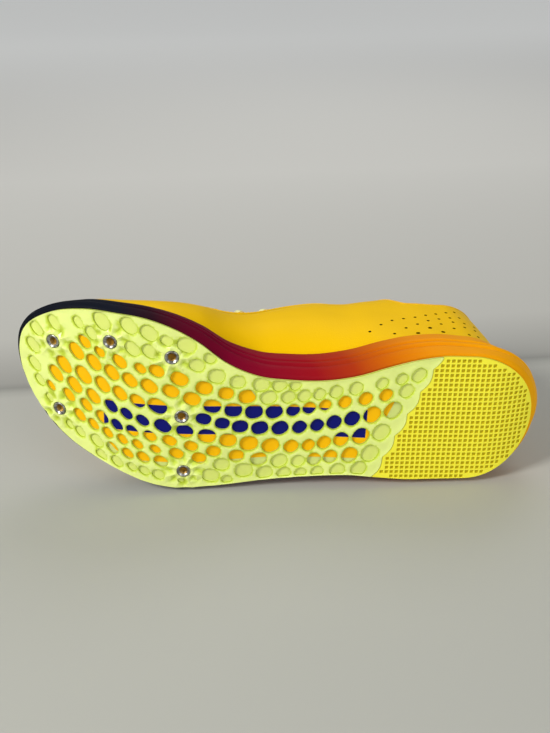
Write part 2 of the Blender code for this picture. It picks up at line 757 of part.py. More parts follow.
def upper_rings(levels, wall_levels, offset=0.0):
    """Rings of the upper from its bottom edge on the footbed up to its top edge."""
    outset, rim = wall_top()
    foot = parallel(outset - RIM_WALL - GAP - offset)
    bottom = raised(foot, footbed_height(TURN) + GAP)
    top = top_angle()
    rings = [bottom]
    for k in range(wall_levels):
        rings.append(last_surface(np.full_like(TURN, -1 + k / wall_levels), offset))
    for k in range(levels + 1):
        rings.append(last_surface(top * (k / levels), offset))
    return rings


def strip_faces(rows, count, closed):
    """Quads between rows of points of equal count."""
    faces = []
    for row in range(rows - 1):
        for i in range(count if closed else count - 1):
            j = (i + 1) % count
            low, high = row * count, (row + 1) * count
            faces.append([low + i, low + j, high + j, high + i])
    return faces


def make_upper(collection, cutters):
    """The upper as one shell, with a real wall, punched for the eyelets."""
    rings = upper_rings(6, 2)
    faces = strip_faces(len(rings), len(TURN), True)
    upper = new_object("upper", np.concatenate(rings), faces, "knit", collection)
    wall = upper.modifiers.new("wall", "SOLIDIFY")
    wall.thickness = UPPER_WALL
    wall.offset = -1
    wall.use_quality_normals = True
    for number, (place, normal) in enumerate(eyelets(), 1):
        turned = Vector(normal).to_track_quat("Z", "X").to_matrix().to_4x4()
        frame = Matrix.Translation(Vector(place)) @ turned
        reach = 3 * UPPER_WALL
        profile = ((EYELET_RADIUS, -reach), (EYELET_RADIUS, reach))
        boolean(upper, lathe(f"eyelet_{number}", profile, 6, frame, None, cutters), "DIFFERENCE")
    return upper


def line_on_last(distance, inner_side):
    """The line on the last at a distance from the crest, as a function of the station."""
    order = np.arange(COUNT + 1) if inner_side else -np.arange(COUNT + 1)
    line = last_surface(angle_at(distance))[order]
    return lambda at: np.array([np.interp(at, TURN[order], line[:, k]) for k in range(3)])


def on_last(at, distance, inner_side):
    """A point on the last at a station and a distance from the crest, with the normal there."""
    line = line_on_last(distance, inner_side)
    upper_line = line_on_last(max(distance - 0.001, 0.0), inner_side)
    lower_line = line_on_last(distance + 0.001, inner_side)
    normal = np.cross(line(at + 0.01) - line(at - 0.01), lower_line(at) - upper_line(at))
    normal *= (1 if inner_side else -1) / np.linalg.norm(normal)
    return line(at), normal


def eyelet_stations():
    first = THROAT_FRONT - 0.028
    return np.linspace(first, THROAT_TOP + 0.022, EYELET_PAIRS)


def eyelets():
    """Place and outward normal of each eyelet, front pair first, inner side first."""
    width = THROAT_HALF_WIDTH + EYELET_INSET
    return [on_last(at, width, inner) for at in eyelet_stations() for inner in (True, False)]


def make_tongue(collection):
    """A thin padded strip under the throat, from under the vamp to above the collar."""
    stations = np.linspace(THROAT_FRONT + 0.03, THROAT_TOP - 0.01, 12)
    reach = THROAT_HALF_WIDTH + TONGUE_OVERLAP
    widths = np.array([-1.0, -0.72, -0.4, 0.0, 0.4, 0.72, 1.0]) * reach
    under = UPPER_WALL + TONGUE_CLEARANCE
    rows = []
    for at in stations:
        narrow = 1 - 0.35 * np.clip((at - THROAT_FRONT + 0.10) / 0.13, 0, 1)
        row = [on_last(at, abs(w) * narrow, w >= 0) for w in widths]
        rows.append(np.array([point - normal * under for point, normal in row]))
    lift = np.array([-TONGUE_RISE * 0.7, 0.0, TONGUE_RISE * 0.75])
    middle = rows[-1][len(widths) // 2]
    rows.append(middle + (rows[-1] - middle) * (1.0, 0.68, 1.0) + lift)
    faces = strip_faces(len(rows), len(widths), False)
    tongue = new_object("tongue", np.concatenate(rows), faces, "lining", collection)
    pad = tongue.modifiers.new("padding", "SOLIDIFY")
    pad.thickness = TONGUE_THICKNESS
    facing = np.mean([face.normal.z for face in tongue.data.polygons])
    pad.offset = -1 if facing > 0 else 1
    return tongue


def make_insole(collection):
    """A thin sock liner on the footbed, inside the upper's wall."""
    outset, _ = wall_top()
    inset = outset - RIM_WALL - UPPER_WALL - 3 * GAP
    low = footbed_height(TURN) + GAP
    rings = (
        raised(parallel(inset - 0.010), low),
        raised(parallel(inset), low),
        raised(parallel(inset), low + INSOLE_THICKNESS - 0.0008),
        raised(parallel(inset - 0.0012), low + INSOLE_THICKNESS),
        raised(parallel(inset - 0.010), low + INSOLE_THICKNESS),
    )
    return new_object("insole", *stacked(rings), "lining", collection)


def lace_run(name, points):
    """A round cord through a few points, as a closed mesh."""
    curve = bpy.data.curves.new(name, "CURVE")
    curve.dimensions = "3D"
    curve.bevel_depth = LACE_RADIUS
    curve.bevel_resolution = 1
    curve.use_fill_caps = True
    spline = curve.splines.new("POLY")
    spline.points.add(len(points) - 1)
    for knot, place in zip(spline.points, points):
        knot.co = (*place, 1.0)
    guide = bpy.data.objects.new(name + "_curve", curve)
    mesh = bpy.data.meshes.new_from_object(guide)
    bpy.data.objects.remove(guide)
    work = bmesh.new()
    work.from_mesh(mesh)
    bmesh.ops.remove_doubles(work, verts=work.verts, dist=1e-6)
    bmesh.ops.recalc_face_normals(work, faces=work.faces)
    work.to_mesh(mesh)
    work.free()
    return bpy.data.objects.new(name, mesh)


def across(start, end):
    """Points of a lace run over the throat between two stations, from the inner to the outer eyelet."""
    reach = THROAT_HALF_WIDTH + EYELET_INSET
    points = []
    for share in np.linspace(0, 1, 6):
        side = reach * (1 - 2 * share)
        point, normal = on_last(start + (end - start) * share, abs(side), side >= 0)
        points.append(point + normal * (LACE_RADIUS + LACE_CLEARANCE))
    return points


def make_lace(collection, cutters):
    """The crossed lace as one joined solid, lying over the eyestays and clear of the tongue."""
    at = eyelet_stations()
    spans = [(at[0], at[0]), *zip(at[:-1], at[1:]), *zip(at[1:], at[:-1])]
    lace, *others = [lace_run(f"lace_run_{number}", across(*span)) for number, span in enumerate(spans)]
    lace.name = "lace"
    collection.objects.link(lace)
    lace.data.materials.append(material("lace"))
    for run in others:
        cutters.objects.link(run)
        boolean(lace, run, "UNION")
    return lace


def evaluated(obj):
    """Points and triangles of an object as its modifiers leave it, in the shoe's frame."""
    graph = bpy.context.evaluated_depsgraph_get()
    final = obj.evaluated_get(graph)
    mesh = final.to_mesh()
    mesh.calc_loop_triangles()
    points = np.array([vertex.co[:] for vertex in mesh.vertices])
    triangles = np.array([triangle.vertices[:] for triangle in mesh.loop_triangles])
    final.to_mesh_clear()
    return points, triangles


def weight_centre(pieces):
    """Centre of mass of the shoe and its mass, from each piece's volume and density."""
    total, moment = 0.0, np.zeros(3)
    for obj in pieces:
        points, triangles = evaluated(obj)
        corner = points[triangles]
        volume = np.einsum("ij,ij->i", corner[:, 0], np.cross(corner[:, 1], corner[:, 2])) / 6
        kind = next(name for name in DENSITY if obj.name.replace("spike_", "").startswith(name)
                    or obj.name.startswith(name))
        total += DENSITY[kind] * volume.sum()
        moment += DENSITY[kind] * (volume[:, None] * corner.sum(1) / 4).sum(0)
    return moment / total, total


def resting_frame(pieces):
    """Turn and shift that lay the shoe on its outer side, as it comes to rest there.

    The shoe rests on a face of its convex hull that its centre of mass stands over. Of these the one
    that faces most to the outer side is taken, and the toe then points along -X.
    """
    centre, _ = weight_centre(pieces)
    points = np.concatenate([evaluated(obj)[0] for obj in pieces])
    work = bmesh.new()
    for point in points:
        work.verts.new(point)
    bmesh.ops.convex_hull(work, input=work.verts)
    best, facing = None, 0.0
    for face in work.faces:
        corners = np.array([vertex.co[:] for vertex in face.verts])
        normal = np.cross(corners[1] - corners[0], corners[2] - corners[0])
        if np.linalg.norm(normal) < 1e-12:
            continue
        normal /= np.linalg.norm(normal)
        depth = (corners[0] - centre) @ normal
        normal, depth = normal * np.sign(depth), abs(depth)
        foot = centre + normal * depth
        turns = [np.cross(corners[i] - corners[i - 1], foot - corners[i - 1]) @ normal for i in range(3)]
        over = min(turns) >= 0 or max(turns) <= 0
        if over and -normal[1] > facing:
            best, facing = normal, -normal[1]
    work.free()
    up = -best
    back = np.array([-1.0, 0.0, 0.0])
    back -= (back @ up) * up
    back /= np.linalg.norm(back)
    turn = np.array([back, np.cross(up, back), up])
    laid = points @ turn.T
    low, high = laid.min(0), laid.max(0)
    shift = np.array([(low[0] + high[0]) / 2, (low[1] + high[1]) / 2, low[2]])
    frame = np.eye(4)
    frame[:3, :3] = turn
    frame[:3, 3] = -shift
    return Matrix(frame.tolist())


def main():
    for obj in list(bpy.data.objects):
        bpy.data.objects.remove(obj, do_unlink=True)
    scene = bpy.context.scene
    shoe = bpy.data.collections.new("track_spike_shoe")
    cutters = bpy.data.collections.new("cutters")
    scene.collection.children.link(shoe)
    scene.collection.children.link(cutters)
    pieces = [
        make_midsole(shoe, cutters),
        make_upper(shoe, cutters),
        make_tongue(shoe),
        make_insole(shoe),
        make_lace(shoe, cutters),
        make_plate(shoe),
        make_backing(shoe),
        make_tread(shoe),
        *make_sockets(shoe),
    ]
    bpy.context.view_layer.update()
    frame = resting_frame(pieces)
    rest = bpy.data.objects.new("rest_on_outer_side", None)
    shoe.objects.link(rest)
    for obj in pieces + list(cutters.objects):
        obj.parent = rest
    rest.matrix_world = frame
    bpy.context.view_layer.update()


main()
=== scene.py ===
"""Distance track spike shoe for the right foot, lying on its outer side.

The surfaces are worked out in the shoe's own frame, X from heel to toe, Y towards the inner side of the foot
and Z up from the ground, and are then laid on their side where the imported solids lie.
"""

import functools
import json
import math

import bmesh
import bpy
import numpy as np
from bpy.props import FloatProperty, FloatVectorProperty, PointerProperty
from mathutils import Matrix, Vector
from mathutils.geometry import delaunay_2d_cdt


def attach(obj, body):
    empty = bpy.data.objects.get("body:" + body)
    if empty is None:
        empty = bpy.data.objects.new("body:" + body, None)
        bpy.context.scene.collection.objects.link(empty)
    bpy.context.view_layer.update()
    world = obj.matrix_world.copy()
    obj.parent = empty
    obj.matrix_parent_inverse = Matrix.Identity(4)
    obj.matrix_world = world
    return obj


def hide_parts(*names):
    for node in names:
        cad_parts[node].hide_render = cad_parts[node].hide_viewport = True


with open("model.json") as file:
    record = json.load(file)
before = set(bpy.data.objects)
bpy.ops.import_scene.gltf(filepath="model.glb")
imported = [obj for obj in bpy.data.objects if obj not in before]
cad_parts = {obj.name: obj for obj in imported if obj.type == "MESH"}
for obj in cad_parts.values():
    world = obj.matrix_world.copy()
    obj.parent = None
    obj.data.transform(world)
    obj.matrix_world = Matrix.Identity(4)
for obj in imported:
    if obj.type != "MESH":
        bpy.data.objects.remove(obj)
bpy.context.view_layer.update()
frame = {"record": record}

bl_info = {
    "name": "Track spike shoe",
    "version": (1, 0, 0),
    "blender": (4, 5, 0),
    "location": "View3D > Sidebar > Spike shoe",
    "description": "Builds a track spike shoe lying on its outer side, sole to the camera",
    "category": "Add Mesh",
}

# Heights of the shoe over the ground it would stand on, and the shares of its length where it changes form.
TOE_SPRING, HEEL_BEVEL, ARCH_LIFT, EDGE_CURL = 0.028, 0.009, 0.0022, 0.0012
INSTEP_HEIGHT, HEEL_HEIGHT, COLLAR_DIP, SIDE_HEIGHT = 0.098, 0.093, 0.012, 0.028
HEEL_FOOTBED, BALL_FOOTBED, TOE_FOOTBED = 0.019, 0.0105, 0.0066
RIM_WALL, SIDE_OVERHANG, HEEL_TUCK, HEEL_FLARE, RIDGE_STEP = 0.0030, 0.0033, 0.0060, 0.0025, 0.0013
FOAM_RIM, HEEL_FOAM_RIM, FOAM_CORNER, TOE_FOAM, FLOOR_TUCK = 0.0010, 0.0030, 0.0012, 0.0021, 0.0010
PLATE, BACKING, GAP, WEB, TREAD = 0.0015, 0.0006, 0.0003, 0.0007, 0.0024
SOCKET_RADIUS, SOCKET_WELL, SOCKET_DEPTH, SOCKET_STAND = 0.0037, 0.0024, 0.0060, 0.0008
STAR_REACH, STAR_BEND, STAR_VALLEY, STAR_DIP = 0.0130, 0.0078, 0.0072, 0.0009
UPPER_WALL, THROAT_HALF_WIDTH, EYELET_INSET, EYELET_REAR_INSET = 0.0015, 0.0120, 0.0065, 0.0040
HEEL_ROUND, TOE_ROUND, THROAT_FRONT, THROAT_TOP = 0.14, 0.12, 0.655, 0.345
THROAT_ROUND, THROAT_FLARE, COLLAR_RISE, EYELET_PAIRS = 0.045, 0.0035, 0.22, 6
HEEL_FAN, TOE_FAN, TOE_FAN_RATE, HEEL_LEAN, OUTER_ROUNDING = 0.13, 0.80, 0.5, 0.006, 0.7
FOAM_TOP, FOOTBED_INSET, LINER_EDGE, LINER = 0.0008, 0.010, 0.0022, 0.0030
EYELET_RADIUS, EYELET_TUBE, BINDING_RADIUS = 0.0026, 0.0006, 0.00105
THREAD_STEP, THREAD_CREST, THREAD_ROOT = 0.00020, 0.00045, 0.00025
OVAL_POWER, OVAL_EDGE_ROOM, OVAL_SOCKET_ROOM = 2.3, 0.0013, 0.0066
OPEN_SOCKET_ROOM, OPEN_PANEL_ROOM, SQUEEZE_ROOM, CUT_ROOM = 0.0075, 0.0012, 0.0046, 0.0006
TONGUE_MARGIN, TONGUE_GAP, TONGUE = 0.0065, 0.0016, 0.0021
WIDE_HOLE, HOLE, HOLE_DEPTH = 0.00120, 0.00088, 0.0004

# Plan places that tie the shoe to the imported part's mounts: the tread's mount, and how far nearer the heel
# than its charted place the fifth socket's mount lies.
TREAD_MOUNT, SOCKET_MOUNT_SHIFT = (0.060, -0.001), 0.0029

# Spacing of a wave texture's bands at a scale of 1, and the camera's focal length and the picture's width in
# pixels, with the sensor's width in millimetres.
WAVE_PERIOD = 0.314
FOCAL_PIXELS, PICTURE_WIDTH, SENSOR = 900, 550, 36.0

# Sole outline: station as a share of the length, then centre and half width as shares of the ball width.
OUTLINE = (
    # at, centre, half
    (0.00, -0.010, 0.381),
    (0.14, -0.009, 0.383),
    (0.20, -0.010, 0.385),
    (0.25, -0.023, 0.375),
    (0.30, -0.038, 0.350),
    (0.36, -0.059, 0.314),
    (0.42, -0.079, 0.303),
    (0.48, -0.087, 0.311),
    (0.54, -0.084, 0.332),
    (0.60, -0.053, 0.384),
    (0.65, -0.001, 0.449),
    (0.70, 0.038, 0.493),
    (0.75, 0.075, 0.505),
    (0.80, 0.111, 0.487),
    (0.85, 0.150, 0.455),
    (0.90, 0.180, 0.409),
    (0.95, 0.216, 0.376),
    (1.00, 0.266, 0.361),
)
# Foam side wall: its height and its overhang as shares of the full ones.
SIDE = (
    # at, height, overhang
    (0.00, 0.96, 0.00),
    (0.12, 0.98, 0.10),
    (0.20, 0.97, 0.55),
    (0.28, 0.99, 1.00),
    (0.48, 0.97, 1.00),
    (0.56, 0.90, 0.85),
    (0.64, 0.70, 0.60),
    (0.74, 0.54, 0.30),
    (0.84, 0.48, 0.15),
    (0.92, 0.37, -0.10),
    (1.00, 0.30, -0.20),
)
# Last: crest height, its shift and the two bulges as shares, height of the widest place, squareness.
LAST = (
    # at, crest, shift, inner, outer, bulge, square
    (0.00, 1.14, 0.000, 0.010, 0.010, 0.42, 6.0),
    (0.13, 1.14, 0.000, 0.005, 0.010, 0.42, 6.0),
    (0.25, 1.09, 0.010, 0.010, 0.020, 0.45, 4.6),
    (0.34, 1.05, 0.045, 0.070, 0.035, 0.48, 3.6),
    (0.42, 1.05, 0.090, 0.120, 0.045, 0.50, 3.0),
    (0.50, 0.95, 0.120, 0.118, 0.045, 0.50, 2.7),
    (0.58, 0.79, 0.165, 0.082, 0.035, 0.46, 2.5),
    (0.66, 0.64, 0.220, 0.045, 0.020, 0.35, 2.2),
    (0.74, 0.55, 0.240, 0.015, 0.010, 0.20, 2.1),
    (0.82, 0.505, 0.255, 0.005, 0.005, 0.12, 2.05),
    (0.90, 0.480, 0.270, 0.003, 0.003, 0.10, 2.1),
    (1.00, 0.460, 0.280, 0.003, 0.003, 0.10, 2.2),
)
PLATE_REAR_INNER, PLATE_REAR_OUTER = (0.205, 0.36), (0.318, -0.38)
SCALLOP_DEPTH, SCALLOP_PITCH = 0.0020, 0.0145
# Oval rows of the plate from the inner edge to the outer one, charted. Each runs from heel to toe.
PLATE_ROWS = (
    # column, at, side, size
    (
        (0, 0.631, 0.349, 0.75), (1, 0.673, 0.424, 0.85), (2, 0.709, 0.450, 0.90),
        (4, 0.777, 0.526, 1.00), (5, 0.827, 0.540, 0.85),
    ),
    (
        (0, 0.472, 0.187, 0.70), (2, 0.536, 0.191, 0.90), (3, 0.580, 0.208, 0.95),
        (4, 0.619, 0.245, 1.00), (5, 0.655, 0.311, 0.95), (7, 0.740, 0.388, 0.95),
        (8, 0.772, 0.397, 0.95), (10, 0.848, 0.464, 0.85), (11, 0.872, 0.516, 0.75),
    ),
    (
        (0, 0.243, 0.259, 0.75), (2, 0.311, 0.209, 0.85), (3, 0.359, 0.176, 0.90),
        (5, 0.427, 0.136, 0.85), (7, 0.485, 0.115, 0.85), (9, 0.562, 0.119, 0.95),
        (11, 0.642, 0.177, 1.00), (13, 0.729, 0.277, 1.05), (14, 0.759, 0.288, 0.85),
        (16, 0.834, 0.363, 0.85), (17, 0.862, 0.411, 0.90),
    ),
    (
        (0, 0.264, 0.165, 1.00), (2, 0.340, 0.115, 0.95), (4, 0.415, 0.070, 0.85),
        (6, 0.475, 0.033, 0.90), (8, 0.549, 0.026, 1.00), (10, 0.627, 0.065, 0.95),
        (12, 0.704, 0.159, 1.00), (13, 0.744, 0.185, 0.95), (15, 0.813, 0.250, 1.00),
        (17, 0.879, 0.348, 1.05),
    ),
    (
        (0, 0.287, 0.047, 1.00), (2, 0.363, -0.009, 1.08), (5, 0.462, -0.070, 0.95),
        (8, 0.575, -0.063, 1.00), (10, 0.644, -0.010, 0.85), (12, 0.730, 0.067, 1.10),
        (13, 0.767, 0.093, 0.90), (15, 0.832, 0.172, 1.00), (17, 0.906, 0.254, 1.00),
    ),
    (
        (0, 0.306, -0.090, 0.95), (2, 0.382, -0.139, 1.05), (5, 0.477, -0.191, 0.95),
        (7, 0.558, -0.170, 1.00), (9, 0.638, -0.116, 0.85), (11, 0.721, -0.054, 0.90),
        (12, 0.759, -0.024, 0.80), (14, 0.818, 0.048, 0.95), (17, 0.924, 0.191, 0.95),
    ),
    (
        (0, 0.325, -0.223, 0.85), (2, 0.401, -0.250, 0.90), (4, 0.463, -0.284, 0.85),
        (6, 0.539, -0.270, 0.90), (8, 0.626, -0.213, 0.75), (10, 0.709, -0.144, 0.75),
        (12, 0.780, -0.093, 0.68), (14, 0.837, -0.028, 0.78), (15, 0.867, 0.033, 0.85),
        (17, 0.937, 0.107, 0.70),
    ),
    (
        (0, 0.345, -0.324, 0.75), (2, 0.425, -0.352, 0.75), (4, 0.490, -0.364, 0.75),
        (6, 0.568, -0.341, 0.90), (8, 0.654, -0.254, 0.80), (10, 0.737, -0.200, 0.70),
        (13, 0.828, -0.122, 0.60), (15, 0.882, -0.038, 0.75),
    ),
    (
        (0, 0.601, -0.399, 0.55), (1, 0.632, -0.371, 0.95), (3, 0.727, -0.277, 0.90),
        (5, 0.791, -0.240, 0.60), (7, 0.851, -0.185, 0.70), (8, 0.884, -0.146, 0.70),
    ),
    (
        (0, 0.640, -0.440, 0.50), (2, 0.733, -0.365, 0.75), (4, 0.784, -0.326, 0.65),
        (6, 0.844, -0.273, 0.60),
    ),
    (
        (0, 0.905, -0.115, 0.55), (1, 0.942, 0.030, 0.60), (2, 0.960, 0.125, 0.75),
        (3, 0.968, 0.220, 0.75), (4, 0.968, 0.330, 0.75), (5, 0.958, 0.435, 0.70),
        (6, 0.920, 0.490, 0.70),
    ),
)
# Half sizes of an oval as shares of the pitch, and its lean in degrees.
OVALS = (
    # at, long, short, lean
    (0.20, 0.57, 0.46, -52.0),
    (0.30, 0.60, 0.50, -55.0),
    (0.38, 0.60, 0.51, -60.0),
    (0.46, 0.55, 0.48, -50.0),
    (0.56, 0.56, 0.50, -5.0),
    (0.64, 0.58, 0.49, 20.0),
    (0.72, 0.62, 0.46, 35.0),
    (0.82, 0.63, 0.42, 55.0),
    (0.92, 0.62, 0.40, 55.0),
)
# Corners of the film behind the windows.
PANEL = (
    # at, side
    (0.952, 0.250),
    (0.930, 0.330),
    (0.885, 0.455),
    (0.800, 0.372),
    (0.700, 0.300),
    (0.640, 0.232),
    (0.560, 0.175),
    (0.535, 0.070),
    (0.480, 0.070),
    (0.400, 0.115),
    (0.300, 0.190),
    (0.280, 0.120),
    (0.336, -0.262),
    (0.515, -0.262),
    (0.600, -0.275),
    (0.670, -0.290),
    (0.780, -0.285),
    (0.815, -0.235),
    (0.850, -0.120),
    (0.905, -0.060),
    (0.950, 0.080),
)
# A plain navy band printed along the panel: its two ends and its width.
BAND_FRONT, BAND_REAR, BAND_WIDTH = (0.835, -0.010), (0.335, -0.045), 0.017
# Centres of the spike inserts.
SOCKETS = (
    # at, side
    (0.923, 0.384),
    (0.812, 0.430),
    (0.700, 0.360),
    (0.921, -0.020),
    (0.685, 0.010),
    (0.684, -0.333),
)


def srgb(code):
    """Linear colour of an sRGB hex code."""
    value = np.array([int(code[i : i + 2], 16) for i in (0, 2, 4)]) / 255
    linear = np.where(value <= 0.04045, value / 12.92, ((value + 0.055) / 1.055) ** 2.4)
    return (*map(float, linear), 1.0)


class ShoeForm(bpy.types.PropertyGroup):
    length: FloatProperty(
        name="Length", description="Heel to toe", default=0.285, min=0.1, unit="LENGTH"
    )
    ball_width: FloatProperty(
        name="Ball width", description="Widest part of the sole", default=0.0985, min=0.03, unit="LENGTH"
    )


class PlateLook(bpy.types.PropertyGroup):
    column_pitch: FloatProperty(
        name="Oval pitch", description="Mean distance of the ovals", default=0.0105, unit="LENGTH"
    )
    panel: FloatVectorProperty(
        name="Panel", description="Film behind the windows", subtype="COLOR", default=srgb("FFC003")[:3]
    )
    band: FloatVectorProperty(
        name="Band", description="Band across the panel", subtype="COLOR", default=srgb("0A1070")[:3]
    )


class FoamLook(bpy.types.PropertyGroup):
    grain: FloatProperty(
        name="Skin grain", description="Size of the foam's fine skin pattern", default=0.0006, unit="LENGTH"
    )


class TreadLook(bpy.types.PropertyGroup):
    pit_pitch: FloatProperty(
        name="Pit pitch", description="Distance of the square pits", default=0.00281, unit="LENGTH"
    )
    pit_width: FloatProperty(
        name="Pit width", description="Width of a square pit", default=0.00196, unit="LENGTH"
    )
    pit_depth: FloatProperty(
        name="Pit depth", description="Depth of a square pit", default=0.00080, unit="LENGTH"
    )


class UpperLook(bpy.types.PropertyGroup):
    knit: FloatVectorProperty(
        name="Knit", description="Colour of the upper", subtype="COLOR", default=srgb("F6C400")[:3]
    )
    lace_radius: FloatProperty(
        name="Lace radius", description="Half the lace's thickness", default=0.0014, unit="LENGTH"
    )
    overlay: FloatProperty(
        name="Overlay", description="Thickness of the eyestay film", default=0.0006, unit="LENGTH"
    )


class StageLook(bpy.types.PropertyGroup):
    azimuth: FloatProperty(
        name="Azimuth", description="Camera's way round the shoe", default=math.radians(1.69), unit="ROTATION"
    )
    elevation: FloatProperty(
        name="Elevation", description="Camera's height angle", default=math.radians(25.36), unit="ROTATION"
    )
    roll: FloatProperty(
        name="Roll", description="Turn about the line of sight", default=math.radians(-1.02), unit="ROTATION"
    )
    distance: FloatProperty(
        name="Distance", description="From the shoe's middle to the camera", default=0.5298, unit="LENGTH"
    )
    aim: FloatVectorProperty(
        name="Aim", description="Point looked at", default=(-0.0024, -0.0019, 0.0502), unit="LENGTH"
    )


class SpikeShoe(bpy.types.PropertyGroup):
    form: PointerProperty(type=ShoeForm)
    plate: PointerProperty(type=PlateLook)
    foam: PointerProperty(type=FoamLook)
    tread: PointerProperty(type=TreadLook)
    upper: PointerProperty(type=UpperLook)
    stage: PointerProperty(type=StageLook)


def settings():
    """The sizes, colours and angles that the sidebar shows."""
    return bpy.context.scene.spike_shoe


def length():
    """Heel to toe, in metres."""
    return settings().form.length


def ball_width():
    """Widest part of the sole, in metres."""
    return settings().form.ball_width


def scaled(shares):
    """Plan places in metres from shares of the length and of the ball width."""
    return np.array(shares) * (length(), ball_width())


def circle(sides):
    """Cosines and sines of evenly spaced angles, a pair to each row."""
    angle = np.arange(sides) * 2 * math.pi / sides
    return np.stack([np.cos(angle), np.sin(angle)], 1)


# Shape of the shoe.


def blend(knots, values, at):
    """Smooth cubic through values at knots, each slope taken from the two neighbours."""
    knots, values = np.asarray(knots, float), np.asarray(values, float)
    slope = np.gradient(values, knots, axis=0)
    at = np.clip(at, knots[0], knots[-1])
    left = np.clip(np.searchsorted(knots, at, side="right") - 1, 0, len(knots) - 2)
    step = knots[left + 1] - knots[left]
    part = (at - knots[left]) / step
    if values.ndim > 1:
        shape = np.shape(at) + (1,) * (values.ndim - 1)
        part, step = np.reshape(part, shape), np.reshape(step, shape)
    back = 1 - part
    low, high = values[left], values[left + 1]
    ends = low * (1 + 2 * part) * back**2 + high * (3 - 2 * part) * part**2
    return ends + slope[left] * step * part * back**2 - slope[left + 1] * step * back * part**2


def column(table, index, at):
    """One column of a table as a smooth curve over its first column."""
    return blend([row[0] for row in table], [row[index] for row in table], at)


def ease(share):
    """Zero below 0, one above 1, and 3s^2 - 2s^3 between."""
    share = np.clip(share, 0, 1)
    return share * share * (3 - 2 * share)


def ground(at, side):
    """Height of the sole's ground side: heel bevel and toe spring as squares, arch as a sine squared."""
    heel = HEEL_BEVEL * np.clip(1 - at / 0.12, 0, 1) ** 2
    arch = ARCH_LIFT * np.sin(math.pi * np.clip((at - 0.30) / 0.38, 0, 1)) ** 2
    toe = TOE_SPRING * (np.clip(at - 0.70, 0, None) / 0.30) ** 2
    centre, half = column(OUTLINE, 1, at) * ball_width(), column(OUTLINE, 2, at) * ball_width()
    curl = EDGE_CURL * np.clip((at - 0.45) / 0.2, 0, 1) * ((side - centre) / half) ** 4
    return heel + arch + toe + curl


def bend(points, height):
    """A flat pattern laid on the ground side and raised along its normal, from central differences."""
    points = np.asarray(points, float)
    x, y = points[..., 0], points[..., 1]
    reach, scale = 0.0005, length()
    z = ground(x / scale, y)
    slope_x = (ground((x + reach) / scale, y) - ground((x - reach) / scale, y)) / (2 * reach)
    slope_y = (ground(x / scale, y + reach) - ground(x / scale, y - reach)) / (2 * reach)
    normal = np.stack([-slope_x, -slope_y, np.ones_like(x)], -1)
    normal /= np.linalg.norm(normal, axis=-1, keepdims=True)
    return np.stack([x, y, z], -1) + normal * np.asarray(height)[..., None]


@functools.cache
def turn():
    """One turn round the shoe, heel, inner side, toe, outer side: stations, and +1, 0 or -1 for the side."""
    heel = HEEL_ROUND * (1 - np.cos(np.linspace(0, math.pi / 2, 36)))
    quarter = np.linspace(HEEL_ROUND, THROAT_TOP, 36)
    throat = THROAT_TOP + (THROAT_FRONT - THROAT_TOP) * (1 - (1 - np.linspace(0, 1, 56)) ** 1.3)
    vamp = np.linspace(THROAT_FRONT, 1 - TOE_ROUND, 36)
    toe = 1 - TOE_ROUND * (1 - np.cos(np.linspace(math.pi / 2, 0, 34)))
    at = np.concatenate([heel, quarter[1:], throat[1:], vamp[1:], toe[1:]])
    ones = np.ones(len(at) - 2)
    side = np.concatenate([[0.0], ones, [0.0], -ones])
    return np.concatenate([at, at[-2:0:-1]]), side


def parallel(outset):
    """The foam's widest outline moved outwards along its plan normal.

    At both ends the half width is multiplied by sqrt(1 - s^2), where s runs from 0 to 1 over the rounding.
    """
    at, side = turn()
    heel_end = np.sqrt(1 - np.clip(1 - at / HEEL_ROUND, 0, 1) ** 2)
    toe_end = np.sqrt(1 - np.clip((at - 1 + TOE_ROUND) / TOE_ROUND, 0, 1) ** 2)
    half = column(OUTLINE, 2, at) * heel_end * toe_end
    loop = np.stack([at * length(), (column(OUTLINE, 1, at) + side * half) * ball_width()], 1)
    tangent = np.roll(loop, -1, 0) - np.roll(loop, 1, 0)
    normal = np.stack([-tangent[:, 1], tangent[:, 0]], 1)
    normal /= np.linalg.norm(normal, axis=1)[:, None]
    return loop + normal * np.reshape(outset, (-1, 1))


def heel_share():
    """One at the very heel, falling to zero where its rounding ends, as a power of 1.5."""
    return np.clip(1 - turn()[0] / HEEL_ROUND, 0, 1) ** 1.5


def pad_loop(inset=0.0):
    """Outline of plate and tread, inside the foam's rim."""
    return parallel(-(FOAM_RIM + HEEL_FOAM_RIM * heel_share() + inset))


def wall_top():
    """Outset and height of the foam's top edge."""
    at, _ = turn()
    outset = SIDE_OVERHANG * column(SIDE, 2, at) - HEEL_TUCK * heel_share()
    return outset, SIDE_HEIGHT * column(SIDE, 1, at)


def footbed_height(at):
    """Height of the footbed over the ground side: eased from heel to ball, then straight to the toe."""
    ball = HEEL_FOOTBED + (BALL_FOOTBED - HEEL_FOOTBED) * ease((at - 0.30) / 0.35)
    return ball + (TOE_FOOTBED - BALL_FOOTBED) * np.clip((at - 0.65) / 0.35, 0, 1)


def raised(loop, height):
    """A loop lifted straight up from the ground side."""
    return np.column_stack([loop, ground(loop[:, 0] / length(), loop[:, 1]) + height])


